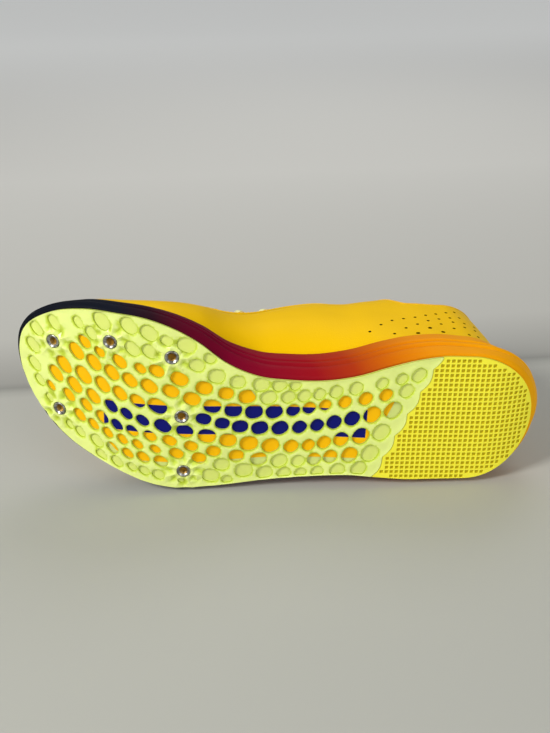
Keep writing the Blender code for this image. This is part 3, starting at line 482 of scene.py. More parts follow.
def section(offset=0.0):
    """Foot on the rim, axis, widest share, height of the widest place, crest and squareness, all round."""
    at, side = turn()
    outset, rim = wall_top()
    foot = raised(parallel(outset - RIM_WALL - GAP - offset), rim)
    toe = TOE_FAN + (at - TOE_FAN) * TOE_FAN_RATE
    crest_at = np.where(at > TOE_FAN, toe, np.maximum(at, HEEL_FAN))
    crest = INSTEP_HEIGHT * column(LAST, 1, crest_at) - offset
    axis = np.stack([crest_at * length(), column(LAST, 2, crest_at) * ball_width()], 1)
    inner, outer = column(LAST, 3, at), column(LAST, 4, at)
    bulge = ball_width() * (inner * (1 + side) + outer * (1 - side)) / 2
    middle = foot[:, 2] + column(LAST, 5, at) * (crest - foot[:, 2])
    reach = np.linalg.norm(foot[:, :2] - axis, axis=1)
    square = column(LAST, 6, at)
    square = square + (2 - square) * OUTER_ROUNDING * np.clip((at - HEEL_ROUND) / 0.15, 0, 1) * (side < 0)
    return foot, axis, 1 + bulge / reach, middle, crest, square


def last_surface(angle, offset=0.0):
    """Points on the last, for angles of any number of rows by one column for each point of the turn.

    Angle -1 is the foam's rim, 0 the widest place of the wall and pi/2 the crest. Below the widest place the
    plan width follows w - (w - 1) d^2, above it w cos(a)^(2/n), with height sin(a)^(2/n).
    """
    at, _ = turn()
    foot, axis, wide, middle, crest, square = section(offset)
    angle = np.atleast_2d(angle)
    up, down = np.clip(angle, 0, math.pi / 2), np.clip(-angle, 0, 1)
    share = np.where(angle >= 0, wide * np.cos(up) ** (2 / square), wide - (wide - 1) * down**2)
    z = np.where(
        angle >= 0,
        middle + (crest - middle) * np.sin(up) ** (2 / square),
        middle - (middle - foot[:, 2]) * down,
    )
    plan = axis + (foot[:, :2] - axis) * share[..., None]
    height = np.clip((z - foot[:, 2]) / (HEEL_HEIGHT - foot[:, 2]), 0, 1.2)
    plan[..., 0] += HEEL_LEAN * height**1.5 * np.clip(1 - at / 0.30, 0, 1)
    return np.concatenate([plan, z[..., None]], -1)


@functools.cache
def girth():
    """Angles from the crest down, and the length walked along the last's surface to each."""
    angles = np.linspace(math.pi / 2, -1, 241)
    surface = last_surface(np.broadcast_to(angles[:, None], (len(angles), len(turn()[0]))))
    step = np.linalg.norm(np.diff(surface, axis=0), axis=2)
    return angles, np.concatenate([np.zeros((1, step.shape[1])), np.cumsum(step, axis=0)])


def angle_at(distance):
    """Angle on the last at a distance from the crest along its surface, for one value or one per column."""
    angles, walked = girth()
    distance = np.broadcast_to(distance, walked.shape[1:])
    return np.array([np.interp(d, walked[:, i], angles) for i, d in enumerate(distance)])


def top_angle():
    """Angle of the upper's edge: the collar's height behind, the throat's half width along the throat."""
    at, _ = turn()
    _, _, _, middle, crest, square = section()
    dip = COLLAR_DIP * np.sin(math.pi * np.clip(at / THROAT_TOP, 0, 1)) ** 1.5
    collar = np.arcsin(np.clip((HEEL_HEIGHT - dip - middle) / (crest - middle), 0, 1) ** (square / 2))
    front = np.clip((THROAT_FRONT - at) / THROAT_ROUND, 0, 1)
    flare = THROAT_FLARE * ease((THROAT_TOP + 0.03 - at) / 0.10)
    throat = angle_at(THROAT_HALF_WIDTH * np.sqrt(1 - (1 - front) ** 2) + flare)
    edge = collar + (throat - collar) * ease((at - COLLAR_RISE) / (THROAT_TOP - COLLAR_RISE))
    return np.where(at > THROAT_FRONT - 1e-6, math.pi / 2, edge)


def side_columns(inner_side):
    """Columns of the turn from heel to toe along one side."""
    half = np.arange(len(turn()[0]) // 2 + 1)
    return half if inner_side else -half


def line_on_last(distance, inner_side):
    """The line at a distance from the crest on one side, as a function of the station."""
    at, order = turn()[0], side_columns(inner_side)
    line = last_surface(angle_at(distance))[0][order]
    return lambda where: np.stack([np.interp(where, at[order], line[:, k]) for k in range(3)], -1)


def on_last(where, distance, inner_side):
    """Points on the last at stations and one distance from the crest, with the outward normals there."""
    line = line_on_last(distance, inner_side)
    above = line_on_last(max(distance - 0.001, 0.0), inner_side)
    below = line_on_last(distance + 0.001, inner_side)
    normal = np.cross(line(where + 0.01) - line(where - 0.01), below(where) - above(where))
    normal *= (1 if inner_side else -1) / np.linalg.norm(normal, axis=-1, keepdims=True)
    return line(where), normal


@functools.cache
def resting_frame():
    """Turn and place of the shoe as it lies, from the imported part's own mounts on the tread and a socket."""
    mounts = {mount["name"]: mount for mount in frame["record"]["mounts"]}
    heel, ball = mounts["heel_tread"], mounts["spike_socket_5"]
    up = -np.array(heel["axis"])
    run = np.array(ball["pos_m"]) - np.array(heel["pos_m"])
    run -= (run @ up) * up
    run /= np.linalg.norm(run)
    start = np.array(TREAD_MOUNT)
    end = scaled(SOCKETS[4]) - (SOCKET_MOUNT_SHIFT, 0.0)
    way = (end - start) / np.linalg.norm(end - start)
    ahead = run * way[0] - np.cross(up, run) * way[1]
    turned = np.array([ahead, np.cross(up, ahead), up]).T
    return turned, np.array(heel["pos_m"]) - turned @ np.array([*start, 0.0])


# Meshes.


def lay(points):
    """Points of the shoe's own frame where the shoe lies."""
    turned, place = resting_frame()
    return np.asarray(points, float).reshape(-1, 3) @ turned.T + place


def mesh_piece(name, points, faces, finishes):
    """A smooth-shaded mesh from points in the shoe's frame, doubles merged, faces turned outwards."""
    mesh = bpy.data.meshes.new(name)
    mesh.from_pydata(lay(points).tolist(), [], [list(map(int, face)) for face in faces])
    work = bmesh.new()
    work.from_mesh(mesh)
    bmesh.ops.remove_doubles(work, verts=work.verts, dist=2e-6)
    bmesh.ops.dissolve_degenerate(work, edges=work.edges, dist=1e-7)
    bmesh.ops.recalc_face_normals(work, faces=work.faces)
    if work.calc_volume(signed=True) < 0:
        bmesh.ops.reverse_faces(work, faces=work.faces)
    work.to_mesh(mesh)
    work.free()
    mesh.shade_smooth()
    mesh.set_sharp_from_angle(angle=math.radians(50))
    for finish in finishes:
        mesh.materials.append(finish)
    piece = bpy.data.objects.new(name, mesh)
    bpy.context.scene.collection.objects.link(piece)
    return piece


def dress(piece, slot, *nodes):
    """Ride on the shoe and stand for CAD nodes. The slot is not used."""
    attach(piece, "root")
    if nodes:
        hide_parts(*nodes)
    return piece


def grid_faces(rows, columns, around=False, up=False):
    """Quads of a grid, joined round its columns or its rows where asked."""
    i = np.arange(rows if up else rows - 1)[:, None]
    j = np.arange(columns if around else columns - 1)[None]
    here, above = i * columns, (i + 1) % rows * columns
    following = (j + 1) % columns
    corners = [here + j, here + following, above + following, above + j]
    return np.stack(corners, -1).reshape(-1, 4)


def capped(count, sides, first=0):
    """Faces of a tube of rings numbered from first, each end closed by one face."""
    ring = first + np.arange(sides)
    return [*(grid_faces(count, sides, around=True) + first), ring, ring + (count - 1) * sides]


def ladder(first, count):
    """Faces that close a loop by joining each point of the inner side to its partner."""
    faces = []
    for i in range(count // 2):
        rung = dict.fromkeys([i, i + 1, (count - i - 1) % count, (count - i) % count])
        faces.append([first + corner for corner in rung])
    return faces


def ringed(name, rings, material):
    """A closed body from rings round the shoe, with the first and the last one filled by ladders."""
    count = len(rings[0])
    last = (len(rings) - 1) * count
    faces = [*grid_faces(len(rings), count, around=True), *ladder(0, count), *ladder(last, count)]
    return mesh_piece(name, np.concatenate(rings), faces, [material])


def inside(points, polygon):
    """Which points lie in a polygon, by the edges to one side of each."""
    x, y = points[:, 0][:, None], points[:, 1][:, None]
    x1, y1 = polygon[:, 0], polygon[:, 1]
    x2, y2 = np.roll(x1, -1), np.roll(y1, -1)
    span = np.where(y2 == y1, 1e-12, y2 - y1)
    crosses = ((y1 > y) != (y2 > y)) & (x < x1 + (y - y1) * (x2 - x1) / span)
    return crosses.sum(1) % 2 == 1


def nearest_on(points, loop):
    """The nearest place to each point on the edges of a closed loop, and its distance."""
    found, places = np.full(len(points), np.inf), np.array(points, float)
    for start, end in zip(loop, np.roll(loop, -1, 0)):
        span = end - start
        share = np.clip((points - start) @ span / max(span @ span, 1e-14), 0, 1)
        foot = start + share[:, None] * span
        away = np.linalg.norm(points - foot, axis=1)
        nearer = away < found
        found[nearer], places[nearer] = away[nearer], foot[nearer]
    return places, found


def distance_to(points, loop):
    """Distance of each point from the edges of a closed loop."""
    return nearest_on(points, loop)[1]


def web(outline, holes, inner):
    """Triangles between an outline and its holes, with free points inside. Delaunay, edges kept."""
    loops = [outline, *holes]
    points = np.concatenate([*loops, inner])
    sizes = np.cumsum([0, *map(len, loops)])
    edges = [(a + i, a + (i + 1) % (b - a)) for a, b in zip(sizes[:-1], sizes[1:]) for i in range(b - a)]
    owner = np.repeat(np.arange(len(loops)), np.diff(sizes))
    owner = np.concatenate([owner, np.full(len(inner), -1)])
    found = delaunay_2d_cdt([Vector(point) for point in points], edges, [], 0, 1e-8)
    flat = np.array([tuple(point) for point in found[0]])
    triangles = np.array([face[:] for face in found[2] if len(face) == 3])
    middle = flat[triangles].mean(1)
    keep = inside(middle, outline)
    for hole in holes:
        near = np.flatnonzero((np.abs(middle - hole.mean(0)) < np.ptp(hole, axis=0)).all(1))
        keep[near[inside(middle[near], hole)]] = False
    return flat, triangles[keep]


def rear_edge(shift, steps):
    """Scalloped line between plate and tread: a straight line less |sin|."""
    start, end = scaled(PLATE_REAR_OUTER), scaled(PLATE_REAR_INNER)
    share = np.linspace(-0.12, 1.12, steps)[:, None]
    run = np.linalg.norm(end - start)
    way = (end - start) / run
    wave = SCALLOP_DEPTH * np.abs(np.sin(math.pi * share * run / SCALLOP_PITCH))
    return start + (end - start) * share + np.array([way[1], -way[0]]) * (SCALLOP_DEPTH / 2 - wave + shift)


def split(loop, line, front):
    """The part of a loop in front of a line across it, or behind it.

    Every edge of the loop is crossed with every stretch of the line: t is the share of the way along the
    edge, and u the share along the stretch.
    """
    found = []
    for j in range(len(line) - 1):
        c, across = line[j], line[j + 1] - line[j]
        along = np.roll(loop, -1, 0) - loop
        area = along[:, 0] * across[1] - along[:, 1] * across[0]
        area = np.where(np.abs(area) < 1e-15, np.inf, area)
        offset = c - loop
        t = (offset[:, 0] * across[1] - offset[:, 1] * across[0]) / area
        u = (offset[:, 0] * along[:, 1] - offset[:, 1] * along[:, 0]) / area
        for i in np.flatnonzero((t >= 0) & (t < 1) & (u >= 0) & (u < 1)):
            found.append((i, j, loop[i] + along[i] * t[i]))
    outer, inner = found[0], found[-1]
    seam = np.concatenate([[outer[2]], line[outer[1] + 1 : inner[1] + 1], [inner[2]]])
    if front:
        return np.concatenate([seam, loop[inner[0] + 1 : outer[0] + 1]])
    return np.concatenate([seam[::-1], loop[outer[0] + 1 :], loop[: inner[0] + 1]])


def pad_part(front, inset=0.0, steps=161):
    """Outline of the plate's or the tread's share of the pad, without doubled points."""
    shift = (GAP / 2 + inset) * (1 if front else -1)
    loop = split(pad_loop(inset), rear_edge(shift, steps), front)
    return loop[np.linalg.norm(loop - np.roll(loop, 1, 0), axis=1) > 1e-5]


def even_points(low, high, pitch):
    """A staggered grid of free points."""
    x, y = np.arange(low[0], high[0], pitch * 0.87), np.arange(low[1], high[1], pitch)
    grid = np.stack(np.meshgrid(x, y, indexing="ij"), -1)
    grid[1::2, :, 1] += pitch / 2
    return grid.reshape(-1, 2)


def pierced_sheet(outline, cells, through, profile, face, thickness, pitch, lip, dip, fixed):
    """A sheet bent to the sole, with recesses and holes that share one wall profile.

    cells is an array of loops (cell, side, 2); profile gives, for each step down a wall, how much the loop
    shrinks towards its centre and its height over the ground face as a share of the thickness. face(points)
    is the height of the ground face, lip raises its outer edge, and dip sinks the cells' edges so that the
    web between them is crowned. Where through is true the wall runs to the back, elsewhere a floor closes
    it at the last step before the back.
    """
    count, sides = cells.shape[:2]
    free = even_points(outline.min(0), outline.max(0), pitch)
    free = free[inside(free, outline)]
    if len(fixed):
        free = free[np.linalg.norm(free[:, None] - fixed[None], axis=2).min(1) > 1.6 * pitch]
        free = np.concatenate([free, fixed[inside(fixed, outline)]])
    free = free[distance_to(free, outline) > pitch * 0.45]
    centres = cells.mean(1)
    radius = np.linalg.norm(cells - centres[:, None], axis=2)
    offset = free[:, None] - centres[None]
    near = np.linalg.norm(offset, axis=2) - radius.max(1)[None]
    keep = np.ones(len(free), bool)
    for cell in range(count):
        close = np.flatnonzero(near[:, cell] < pitch)
        if len(close):
            hit = inside(free[close], cells[cell]) | (distance_to(free[close], cells[cell]) < pitch * 0.4)
            keep[close[hit]] = False
    free = free[keep]
    flat, triangles = web(outline, list(cells), free)
    edge = distance_to(flat, outline)
    top = face(flat) + lip * (1 - np.clip(edge / (2 * pitch), 0, 1)) ** 2
    top[len(outline) : len(outline) + count * sides] += dip
    parts_points, parts_faces, first = [bend(flat, top)], [triangles[:, ::-1]], len(flat)

    ends = centres[:, None] + (cells - centres[:, None]) * (1 - profile[-1][0] / radius[..., None])
    back_flat, back_triangles = web(outline, list(ends[through]), np.zeros((0, 2)))
    parts_points.append(bend(back_flat, np.full(len(back_flat), thickness)))
    parts_faces.append(back_triangles + first)
    first += len(back_flat)

    rim_height = face(outline) + lip
    rim = np.stack([bend(outline, rim_height), bend(outline, np.full(len(outline), thickness))])
    parts_points.append(rim.reshape(-1, 3))
    parts_faces.append(grid_faces(2, len(outline), around=True) + first)
    first += 2 * len(outline)

    start = top[len(outline) : len(outline) + count * sides].reshape(count, sides)
    for kind in (True, False):
        chosen = cells[through == kind]
        if not len(chosen):
            continue
        steps = [(0.0, 0.0), *profile, (profile[-1][0], 1.0)] if kind else [(0.0, 0.0), *profile]
        shrink = np.array([step[0] for step in steps])
        sink = np.array([step[1] for step in steps])
        middle = chosen.mean(1)[:, None]
        reach = np.linalg.norm(chosen - middle, axis=2, keepdims=True)
        factor = 1 - shrink[None, :, None, None] / reach[:, None]
        loops = middle[:, None] + (chosen - middle)[:, None] * factor
        base = start[through == kind][:, None]
        height = base + (thickness - base) * sink[None, :, None]
        walls = bend(loops, height)
        rings = grid_faces(len(steps), sides, around=True)
        shift = first + np.arange(len(chosen))[:, None, None] * len(steps) * sides
        parts_points.append(walls.reshape(-1, 3))
        parts_faces.append((rings[None] + shift).reshape(-1, 4))
        if not kind:
            floor = (len(steps) - 1) * sides + np.arange(sides)
            parts_faces.append(first + np.arange(len(chosen))[:, None] * len(steps) * sides + floor[None])
        first += walls.reshape(-1, 3).shape[0]
    points = np.concatenate(parts_points)
    return points, [face for part in parts_faces for face in part]


# Finishes.


def add_node(tree, kind, links=None, **values):
    """A node with its settings, its socket values by name or number, and its incoming links."""
    node = tree.nodes.new(kind)
    for key, value in values.items():
        if hasattr(node, key):
            setattr(node, key, value)
        else:
            node.inputs[key.replace("_", " ")].default_value = value
    for socket, source in (links or {}).items():
        tree.links.new(source, node.inputs[socket])
    return node


def finish(name, colour, roughness, **more):
    """A Principled material with its tree and shader. The colour is a hex code or a linear triple."""
    made = bpy.data.materials.new(name)
    made.use_nodes = True
    shader = made.node_tree.nodes["Principled BSDF"]
    shader.inputs["Base Color"].default_value = srgb(colour) if isinstance(colour, str) else (*colour, 1.0)
    shader.inputs["Roughness"].default_value = roughness
    for key, value in more.items():
        shader.inputs[key.replace("_", " ")].default_value = value
    return made, made.node_tree, shader


def paint(ramp, stops):
    """Colour stops of a ramp, as pairs of position and sRGB code."""
    elements = ramp.color_ramp.elements
    for end, (position, code) in zip((0, 1), (stops[0], stops[-1])):
        elements[end].position, elements[end].color = position, srgb(code)
    for position, code in stops[1:-1]:
        elements.new(position).color = srgb(code)


def rough_skin(tree, shader, size, depth):
    """Fine bump of noise grains of a real size."""
    source = add_node(tree, "ShaderNodeTexCoord").outputs["Object"]
    noise = add_node(tree, "ShaderNodeTexNoise", {"Vector": source}, Scale=1 / size, Detail=3.0)
    bump = add_node(tree, "ShaderNodeBump", {"Height": noise.outputs["Fac"]}, Strength=1.0, Distance=depth)
    tree.links.new(bump.outputs["Normal"], shader.inputs["Normal"])


def foam_finish():
    """Moulded foam, dyed in one long fade. Its skin is satin, with soft lengthwise compression marks.

    The fade runs along X and leans with Y, so that it turns first at the outer side.
    """
    made, tree, shader = finish("moulded_fade_foam", "9C1020", 0.5, Specular_IOR_Level=0.05)
    source = add_node(tree, "ShaderNodeTexCoord").outputs["Object"]
    split_node = add_node(tree, "ShaderNodeSeparateXYZ", {"Vector": source})
    share = add_node(
        tree,
        "ShaderNodeMapRange",
        {"Value": split_node.outputs["X"]},
        From_Min=-length() / 2,
        From_Max=length() / 2,
        To_Min=0.062,
        To_Max=1.062,
    )
    lean = add_node(
        tree,
        "ShaderNodeMath",
        {0: split_node.outputs["Y"], 2: share.outputs["Result"]},
        operation="MULTIPLY_ADD",
    )
    lean.inputs[1].default_value = 1.4
    ramp = add_node(tree, "ShaderNodeValToRGB", {"Fac": lean.outputs["Value"]})
    fade = (
        # share from the toe, colour
        (0.00, "0C1019"),
        (0.20, "141722"),
        (0.26, "2A0D1A"),
        (0.32, "5E0522"),
        (0.40, "7E0329"),
        (0.48, "8C0722"),
        (0.56, "98101A"),
        (0.63, "AC3410"),
        (0.69, "CC6404"),
        (0.77, "EA8F02"),
        (1.00, "FFB404"),
    )
    paint(ramp, fade)
    tree.links.new(ramp.outputs["Color"], shader.inputs["Base Color"])
    stretched = add_node(tree, "ShaderNodeMapping", {"Vector": source}, Scale=(0.12, 1.0, 0.5))
    long_marks = {"Vector": stretched.outputs["Vector"]}
    marks = add_node(tree, "ShaderNodeTexNoise", long_marks, Scale=420.0, Detail=2.0)
    grain_scale = 1 / settings().foam.grain
    grain = add_node(tree, "ShaderNodeTexNoise", {"Vector": source}, Scale=grain_scale, Detail=2.0)
    low = add_node(tree, "ShaderNodeBump", {"Height": marks.outputs["Fac"]}, Strength=0.6, Distance=0.0004)
    fine = add_node(
        tree,
        "ShaderNodeBump",
        {"Height": grain.outputs["Fac"], "Normal": low.outputs["Normal"]},
        Strength=0.5,
        Distance=0.0001,
    )
    tree.links.new(fine.outputs["Normal"], shader.inputs["Normal"])
    return made


def plate_finish():
    """Translucent injection-moulded lime nylon: a little light sinks in, and painted shade by depth darkens
    recess walls and star folds.
    """
    made, tree, shader = finish(
        "lime_nylon",
        "DDF06E",
        0.30,
        Subsurface_Weight=0.10,
        Subsurface_Scale=0.0012,
        Subsurface_Radius=(0.9, 1.0, 0.35),
        Coat_Weight=0.1,
        Coat_Roughness=0.15,
    )
    source = add_node(tree, "ShaderNodeTexCoord").outputs["Object"]
    depth = add_node(tree, "ShaderNodeAttribute", attribute_name="depth", attribute_type="GEOMETRY")
    ramp = add_node(tree, "ShaderNodeValToRGB", {"Fac": depth.outputs["Fac"]})
    # Painted shade: dark olive down the walls of recesses and windows, olive-brown at the back of the windows,
    # deeper lime in the star folds.
    shades = (
        # share of the plate's thickness, colour
        (0.02, "ECF98E"),
        (0.14, "D2E64C"),
        (0.34, "A9B920"),
        (0.62, "A9B920"),
        (0.72, "E4F07A"),
        (0.80, "E4F07A"),
        (1.00, "A39A18"),
    )
    paint(ramp, shades)
    cloud = add_node(tree, "ShaderNodeTexNoise", {"Vector": source}, Scale=70.0, Detail=2.0)
    tone = add_node(tree, "ShaderNodeMapRange", {"Value": cloud.outputs["Fac"]}, To_Min=0.90, To_Max=1.08)
    links = {"Color": ramp.outputs["Color"], "Value": tone.outputs["Result"]}
    tint = add_node(tree, "ShaderNodeHueSaturation", links)
    tree.links.new(tint.outputs["Color"], shader.inputs["Base Color"])
    ripple = add_node(tree, "ShaderNodeTexNoise", {"Vector": source}, Scale=350.0, Detail=1.0)
    bump = add_node(tree, "ShaderNodeBump", {"Height": ripple.outputs["Fac"]}, Strength=0.4, Distance=0.0004)
    tree.links.new(bump.outputs["Normal"], shader.inputs["Normal"])
    return made


def film_finish(name, colour):
    """Printed film under the plate: flat colour, satin, with a faint stipple."""
    made, tree, shader = finish(name, colour, 0.42, Specular_IOR_Level=0.15)
    rough_skin(tree, shader, 0.0007, 0.00004)
    return made


def tread_finish():
    """Yellow moulded rubber, matt, with painted shade making it darker and olive down in its pits."""
    made, tree, shader = finish("yellow_rubber", "E6DB2C", 0.55, Specular_IOR_Level=0.25)
    depth = add_node(tree, "ShaderNodeAttribute", attribute_name="depth", attribute_type="GEOMETRY")
    ramp = add_node(tree, "ShaderNodeValToRGB", {"Fac": depth.outputs["Fac"]})
    # Painted shade: the rubber turns darker and olive with depth down the pits.
    paint(ramp, ((0.04, "FFF63E"), (0.75, "CCB80C")))
    tree.links.new(ramp.outputs["Color"], shader.inputs["Base Color"])
    rough_skin(tree, shader, 0.0004, 0.00005)
    return made


def upper_finish(name, colour, roughness):
    """Thin coated knit: a close mesh of about 0.8 mm under a satin film, with broad soft waves."""
    made, tree, shader = finish(name, colour, roughness, Specular_IOR_Level=0.04)
    source = add_node(tree, "ShaderNodeTexCoord").outputs["Object"]
    cells = add_node(tree, "ShaderNodeTexVoronoi", {"Vector": source}, Scale=1100.0)
    waves = add_node(tree, "ShaderNodeTexNoise", {"Vector": source}, Scale=45.0, Detail=1.0)
    low = add_node(tree, "ShaderNodeBump", {"Height": waves.outputs["Fac"]}, Strength=0.5, Distance=0.0014)
    fine = add_node(
        tree,
        "ShaderNodeBump",
        {"Height": cells.outputs["Distance"], "Normal": low.outputs["Normal"]},
        Strength=0.35,
        Distance=0.00012,
    )
    tree.links.new(fine.outputs["Normal"], shader.inputs["Normal"])
    return made


def weave_finish(name, colour, thread):
    """Woven textile: two crossed sine waves of thread spacing as bump, matt with a soft sheen."""
    made, tree, shader = finish(name, colour, 0.85, Sheen_Weight=0.3, Sheen_Roughness=0.4)
    source = add_node(tree, "ShaderNodeTexCoord").outputs["Object"]
    scale, crossed = WAVE_PERIOD / thread, {}
    for number, way in enumerate("XZ"):
        wave = add_node(tree, "ShaderNodeTexWave", {"Vector": source}, bands_direction=way, Scale=scale)
        crossed[number] = wave.outputs["Fac"]
    both = add_node(tree, "ShaderNodeMath", crossed, operation="ADD")
    height = {"Height": both.outputs["Value"]}
    bump = add_node(tree, "ShaderNodeBump", height, Strength=0.6, Distance=thread * 0.25)
    tree.links.new(bump.outputs["Normal"], shader.inputs["Normal"])
    return made


def steel_finish():
    """Turned steel insert, bright with fine worn scratches."""
    made, tree, shader = finish("turned_steel", "A9A8A2", 0.34, Metallic=1.0)
    source = add_node(tree, "ShaderNodeTexCoord").outputs["Object"]
    wear = add_node(tree, "ShaderNodeTexNoise", {"Vector": source}, Scale=900.0, Detail=3.0)
    ramp = add_node(tree, "ShaderNodeValToRGB", {"Fac": wear.outputs["Fac"]})
    paint(ramp, ((0.35, "6C6B65"), (0.65, "C4C3BD")))
    tree.links.new(ramp.outputs["Color"], shader.inputs["Base Color"])
    return made


# Pieces.


def build_midsole():
    """Foam body through rings: ground corner, belly, ridge step, recessed upper band, rim and footbed.

    Up the side wall the outset is a smooth curve through a few named places at shares of the wall height.
    """
    at, side_of = turn()
    outset, height = wall_top()
    share = heel_share()
    under = PLATE + BACKING + 2 * GAP
    corner = under + FOAM_CORNER
    floor_side = np.sin(math.pi * np.clip((at - 0.56) / 0.34, 0, 1)) * (side_of < 0)
    ridge = np.clip(outset, 0, None) * 0.8 + 0.0006 + HEEL_FLARE * share - FLOOR_TUCK * floor_side
    inner = outset - RIM_WALL
    outer_edge = ease((at - 0.77) / 0.09) * (1 - 0.5 * ease((at - 0.92) / 0.08))
    toe_edge = TOE_FOAM * np.where(side_of < 0, outer_edge, 0.5 * ease((at - 0.93) / 0.07))
    flank = ridge - 0.5 * HEEL_TUCK * share
    marks = np.array([0.0, 0.12, 0.22, 0.27, 0.34, 0.41, 0.47, 0.53, 0.59, 0.66, 0.80, 1.0])
    side = np.array(
        [
            0.0001 + toe_edge,
            0.55 * ridge + 0.7 * toe_edge,
            0.86 * ridge + 0.3 * toe_edge,
            0.90 * ridge,
            0.92 * ridge - RIDGE_STEP,
            ridge,
            ridge + 0.0003,
            ridge - 0.1 * HEEL_TUCK * share,
            flank - RIDGE_STEP,
            flank - 0.2 * RIDGE_STEP,
            0.35 * flank + 0.65 * outset,
            outset - 0.0002,
        ]
    )
    spans = ((0, 0.24, 8), (0.26, 0.42, 11), (0.445, 0.495, 3), (0.52, 0.67, 11), (0.71, 1.0, 8))
    climb = np.concatenate([np.linspace(*span) for span in spans])
    rings = [
        bend(parallel(-0.012 + 0 * at), under + 0 * at),
        bend(parallel(-0.0011 - 0.4 * HEEL_FOAM_RIM * share), under + 0 * at),
        bend(parallel(-0.0004 - 0.2 * HEEL_FOAM_RIM * share + toe_edge), under + 0.0001 + 0 * at),
        bend(parallel(-0.0001 + toe_edge), under + 0.0005 + 0 * at),
    ]
    for step, out in zip(climb, blend(marks, side, climb)):
        rings.append(raised(parallel(out), corner + (height - FOAM_TOP - corner) * step))
    for lean in (0.35, 0.7, 1.0):
        rings.append(raised(parallel(outset - 0.0010 * lean), height - FOAM_TOP * (1 - lean) ** 2))
    rings += [
        raised(parallel(inner + 0.0006), height),
        raised(parallel(inner), height - 0.0006),
        raised(parallel(inner), footbed_height(at)),
        raised(parallel(inner - FOOTBED_INSET), footbed_height(at)),
    ]
    return dress(ringed("foam_midsole", rings, foam_finish()), "foam", "midsole")


def oval_table():
    """Centres, half sizes and leans of the ovals on the plate, and which of them are open.

    Each row is a smooth curve through its charted ovals, read at every whole column.
    """
    charted = [np.array(row) for row in PLATE_ROWS]
    found = np.concatenate([blend(row[:, 0], row[:, 1:], np.arange(row[-1, 0] + 1)) for row in charted])
    centres, size = scaled(found[:, :2]), found[:, 2]
    away = np.linalg.norm(centres[:, None] - scaled(SOCKETS)[None], axis=2).min(1)
    plate, panel = pad_part(True), scaled(PANEL)
    room = distance_to(centres, plate)
    keep = inside(centres, plate) & (room > OVAL_EDGE_ROOM) & (away > OVAL_SOCKET_ROOM)
    pitch = settings().plate.column_pitch
    long = column(OVALS, 1, found[:, 0]) * pitch * size
    short = column(OVALS, 2, found[:, 0]) * pitch * size
    open_ones = inside(centres, panel) | (distance_to(centres, panel) < OPEN_PANEL_ROOM)
    open_ones &= away > OPEN_SOCKET_ROOM
    squeeze = np.clip((away - SQUEEZE_ROOM) / long, 0.5, 1)
    lean = np.radians(column(OVALS, 3, found[:, 0]))
    return centres[keep], (long * squeeze)[keep], (short * squeeze)[keep], lean[keep], open_ones[keep]


def oval_loops(sides=20):
    """Each oval as a superellipse |x|^n + |y|^n = 1 with n of 2.3, turned by its lean.

    Ovals whose edges come nearer to each other than a web's width shrink by small steps until they don't. At
    the plate's edge they are cut off along it, and a sixteenth of what was cut is left as a bulge.
    """
    centres, long, short, lean, open_ones = oval_table()
    c, s = circle(sides).T
    x = long[:, None] * np.sign(c) * np.abs(c) ** (2 / OVAL_POWER)
    y = short[:, None] * np.sign(s) * np.abs(s) ** (2 / OVAL_POWER)
    ahead, aside = np.cos(lean)[:, None], np.sin(lean)[:, None]
    turned = np.stack([x * ahead - y * aside, x * aside + y * ahead], -1)
    scale = np.ones(len(centres))
    for _ in range(14):
        loops = centres[:, None] + turned * scale[:, None, None]
        offset = loops[:, None] - centres[None, :, None]
        along = offset[..., 0] * ahead + offset[..., 1] * aside
        across = offset[..., 1] * ahead - offset[..., 0] * aside
        level = np.hypot(along / (long * scale)[:, None], across / (short * scale)[:, None]).min(2)
        np.fill_diagonal(level, 9)
        tight = level < 1 + WEB / (short * scale)
        scale[tight.any(0) | tight.any(1)] *= 0.97
    limit = pad_part(True, CUT_ROOM)
    flat = loops.reshape(-1, 2)
    outside = ~inside(flat, limit)
    edge = nearest_on(flat[outside], limit)[0]
    flat[outside] = edge + (flat[outside] - edge) / 16
    return flat.reshape(loops.shape), open_ones


def socket_rings(radius, sides):
    """A flat circle round every socket."""
    return scaled(SOCKETS)[:, None] + radius * circle(sides)[None]


def star_lines(number):
    """Angles of one boss's folds: its points, then the valleys halfway between them."""
    count = 7 + number % 2
    points = (np.arange(count) + 0.3 * number) * 2 * math.pi / count
    return points, points + math.pi / count


def star_points():
    """Free points along the folds of every boss, so that the web of triangles follows them."""
    found = []
    steps = ((0.0052, STAR_BEND, 0.0104, STAR_REACH), (0.0052, STAR_VALLEY, 0.0104))
    for number, centre in enumerate(scaled(SOCKETS)):
        for angles, radii in zip(star_lines(number), steps):
            spokes = np.stack([np.cos(angles), np.sin(angles)], 1)
            found += [centre + spokes * radius for radius in radii]
    return np.concatenate(found)


def plate_face(points):
    """Height of the plate's ground face: a folded star round each socket, and low swells between the ovals.

    A star's points fall straight from the socket's ring to the web, its valleys dip below the web first. In
    between runs a triangle wave of the angle.
    """
    height = np.zeros(len(points))
    for number, centre in enumerate(scaled(SOCKETS)):
        offset = points - centre
        r, a = np.hypot(offset[:, 0], offset[:, 1]), np.arctan2(offset[:, 1], offset[:, 0])
        crests = star_lines(number)[0]
        turns = (a - crests[0]) * len(crests) / (2 * math.pi)
        wave = np.abs(2 * (turns % 1) - 1)
        crest = np.interp(r, (SOCKET_RADIUS, STAR_BEND, STAR_REACH), (SOCKET_STAND, 0.8 * SOCKET_STAND, 0))
        valley = np.interp(r, (SOCKET_RADIUS, STAR_VALLEY, STAR_REACH), (SOCKET_STAND, -STAR_DIP, 0))
        height += valley + (crest - valley) * wave
    swell = 0.00010 * np.sin(points[:, 0] * 540) * np.sin(points[:, 1] * 610)
    return -height + swell


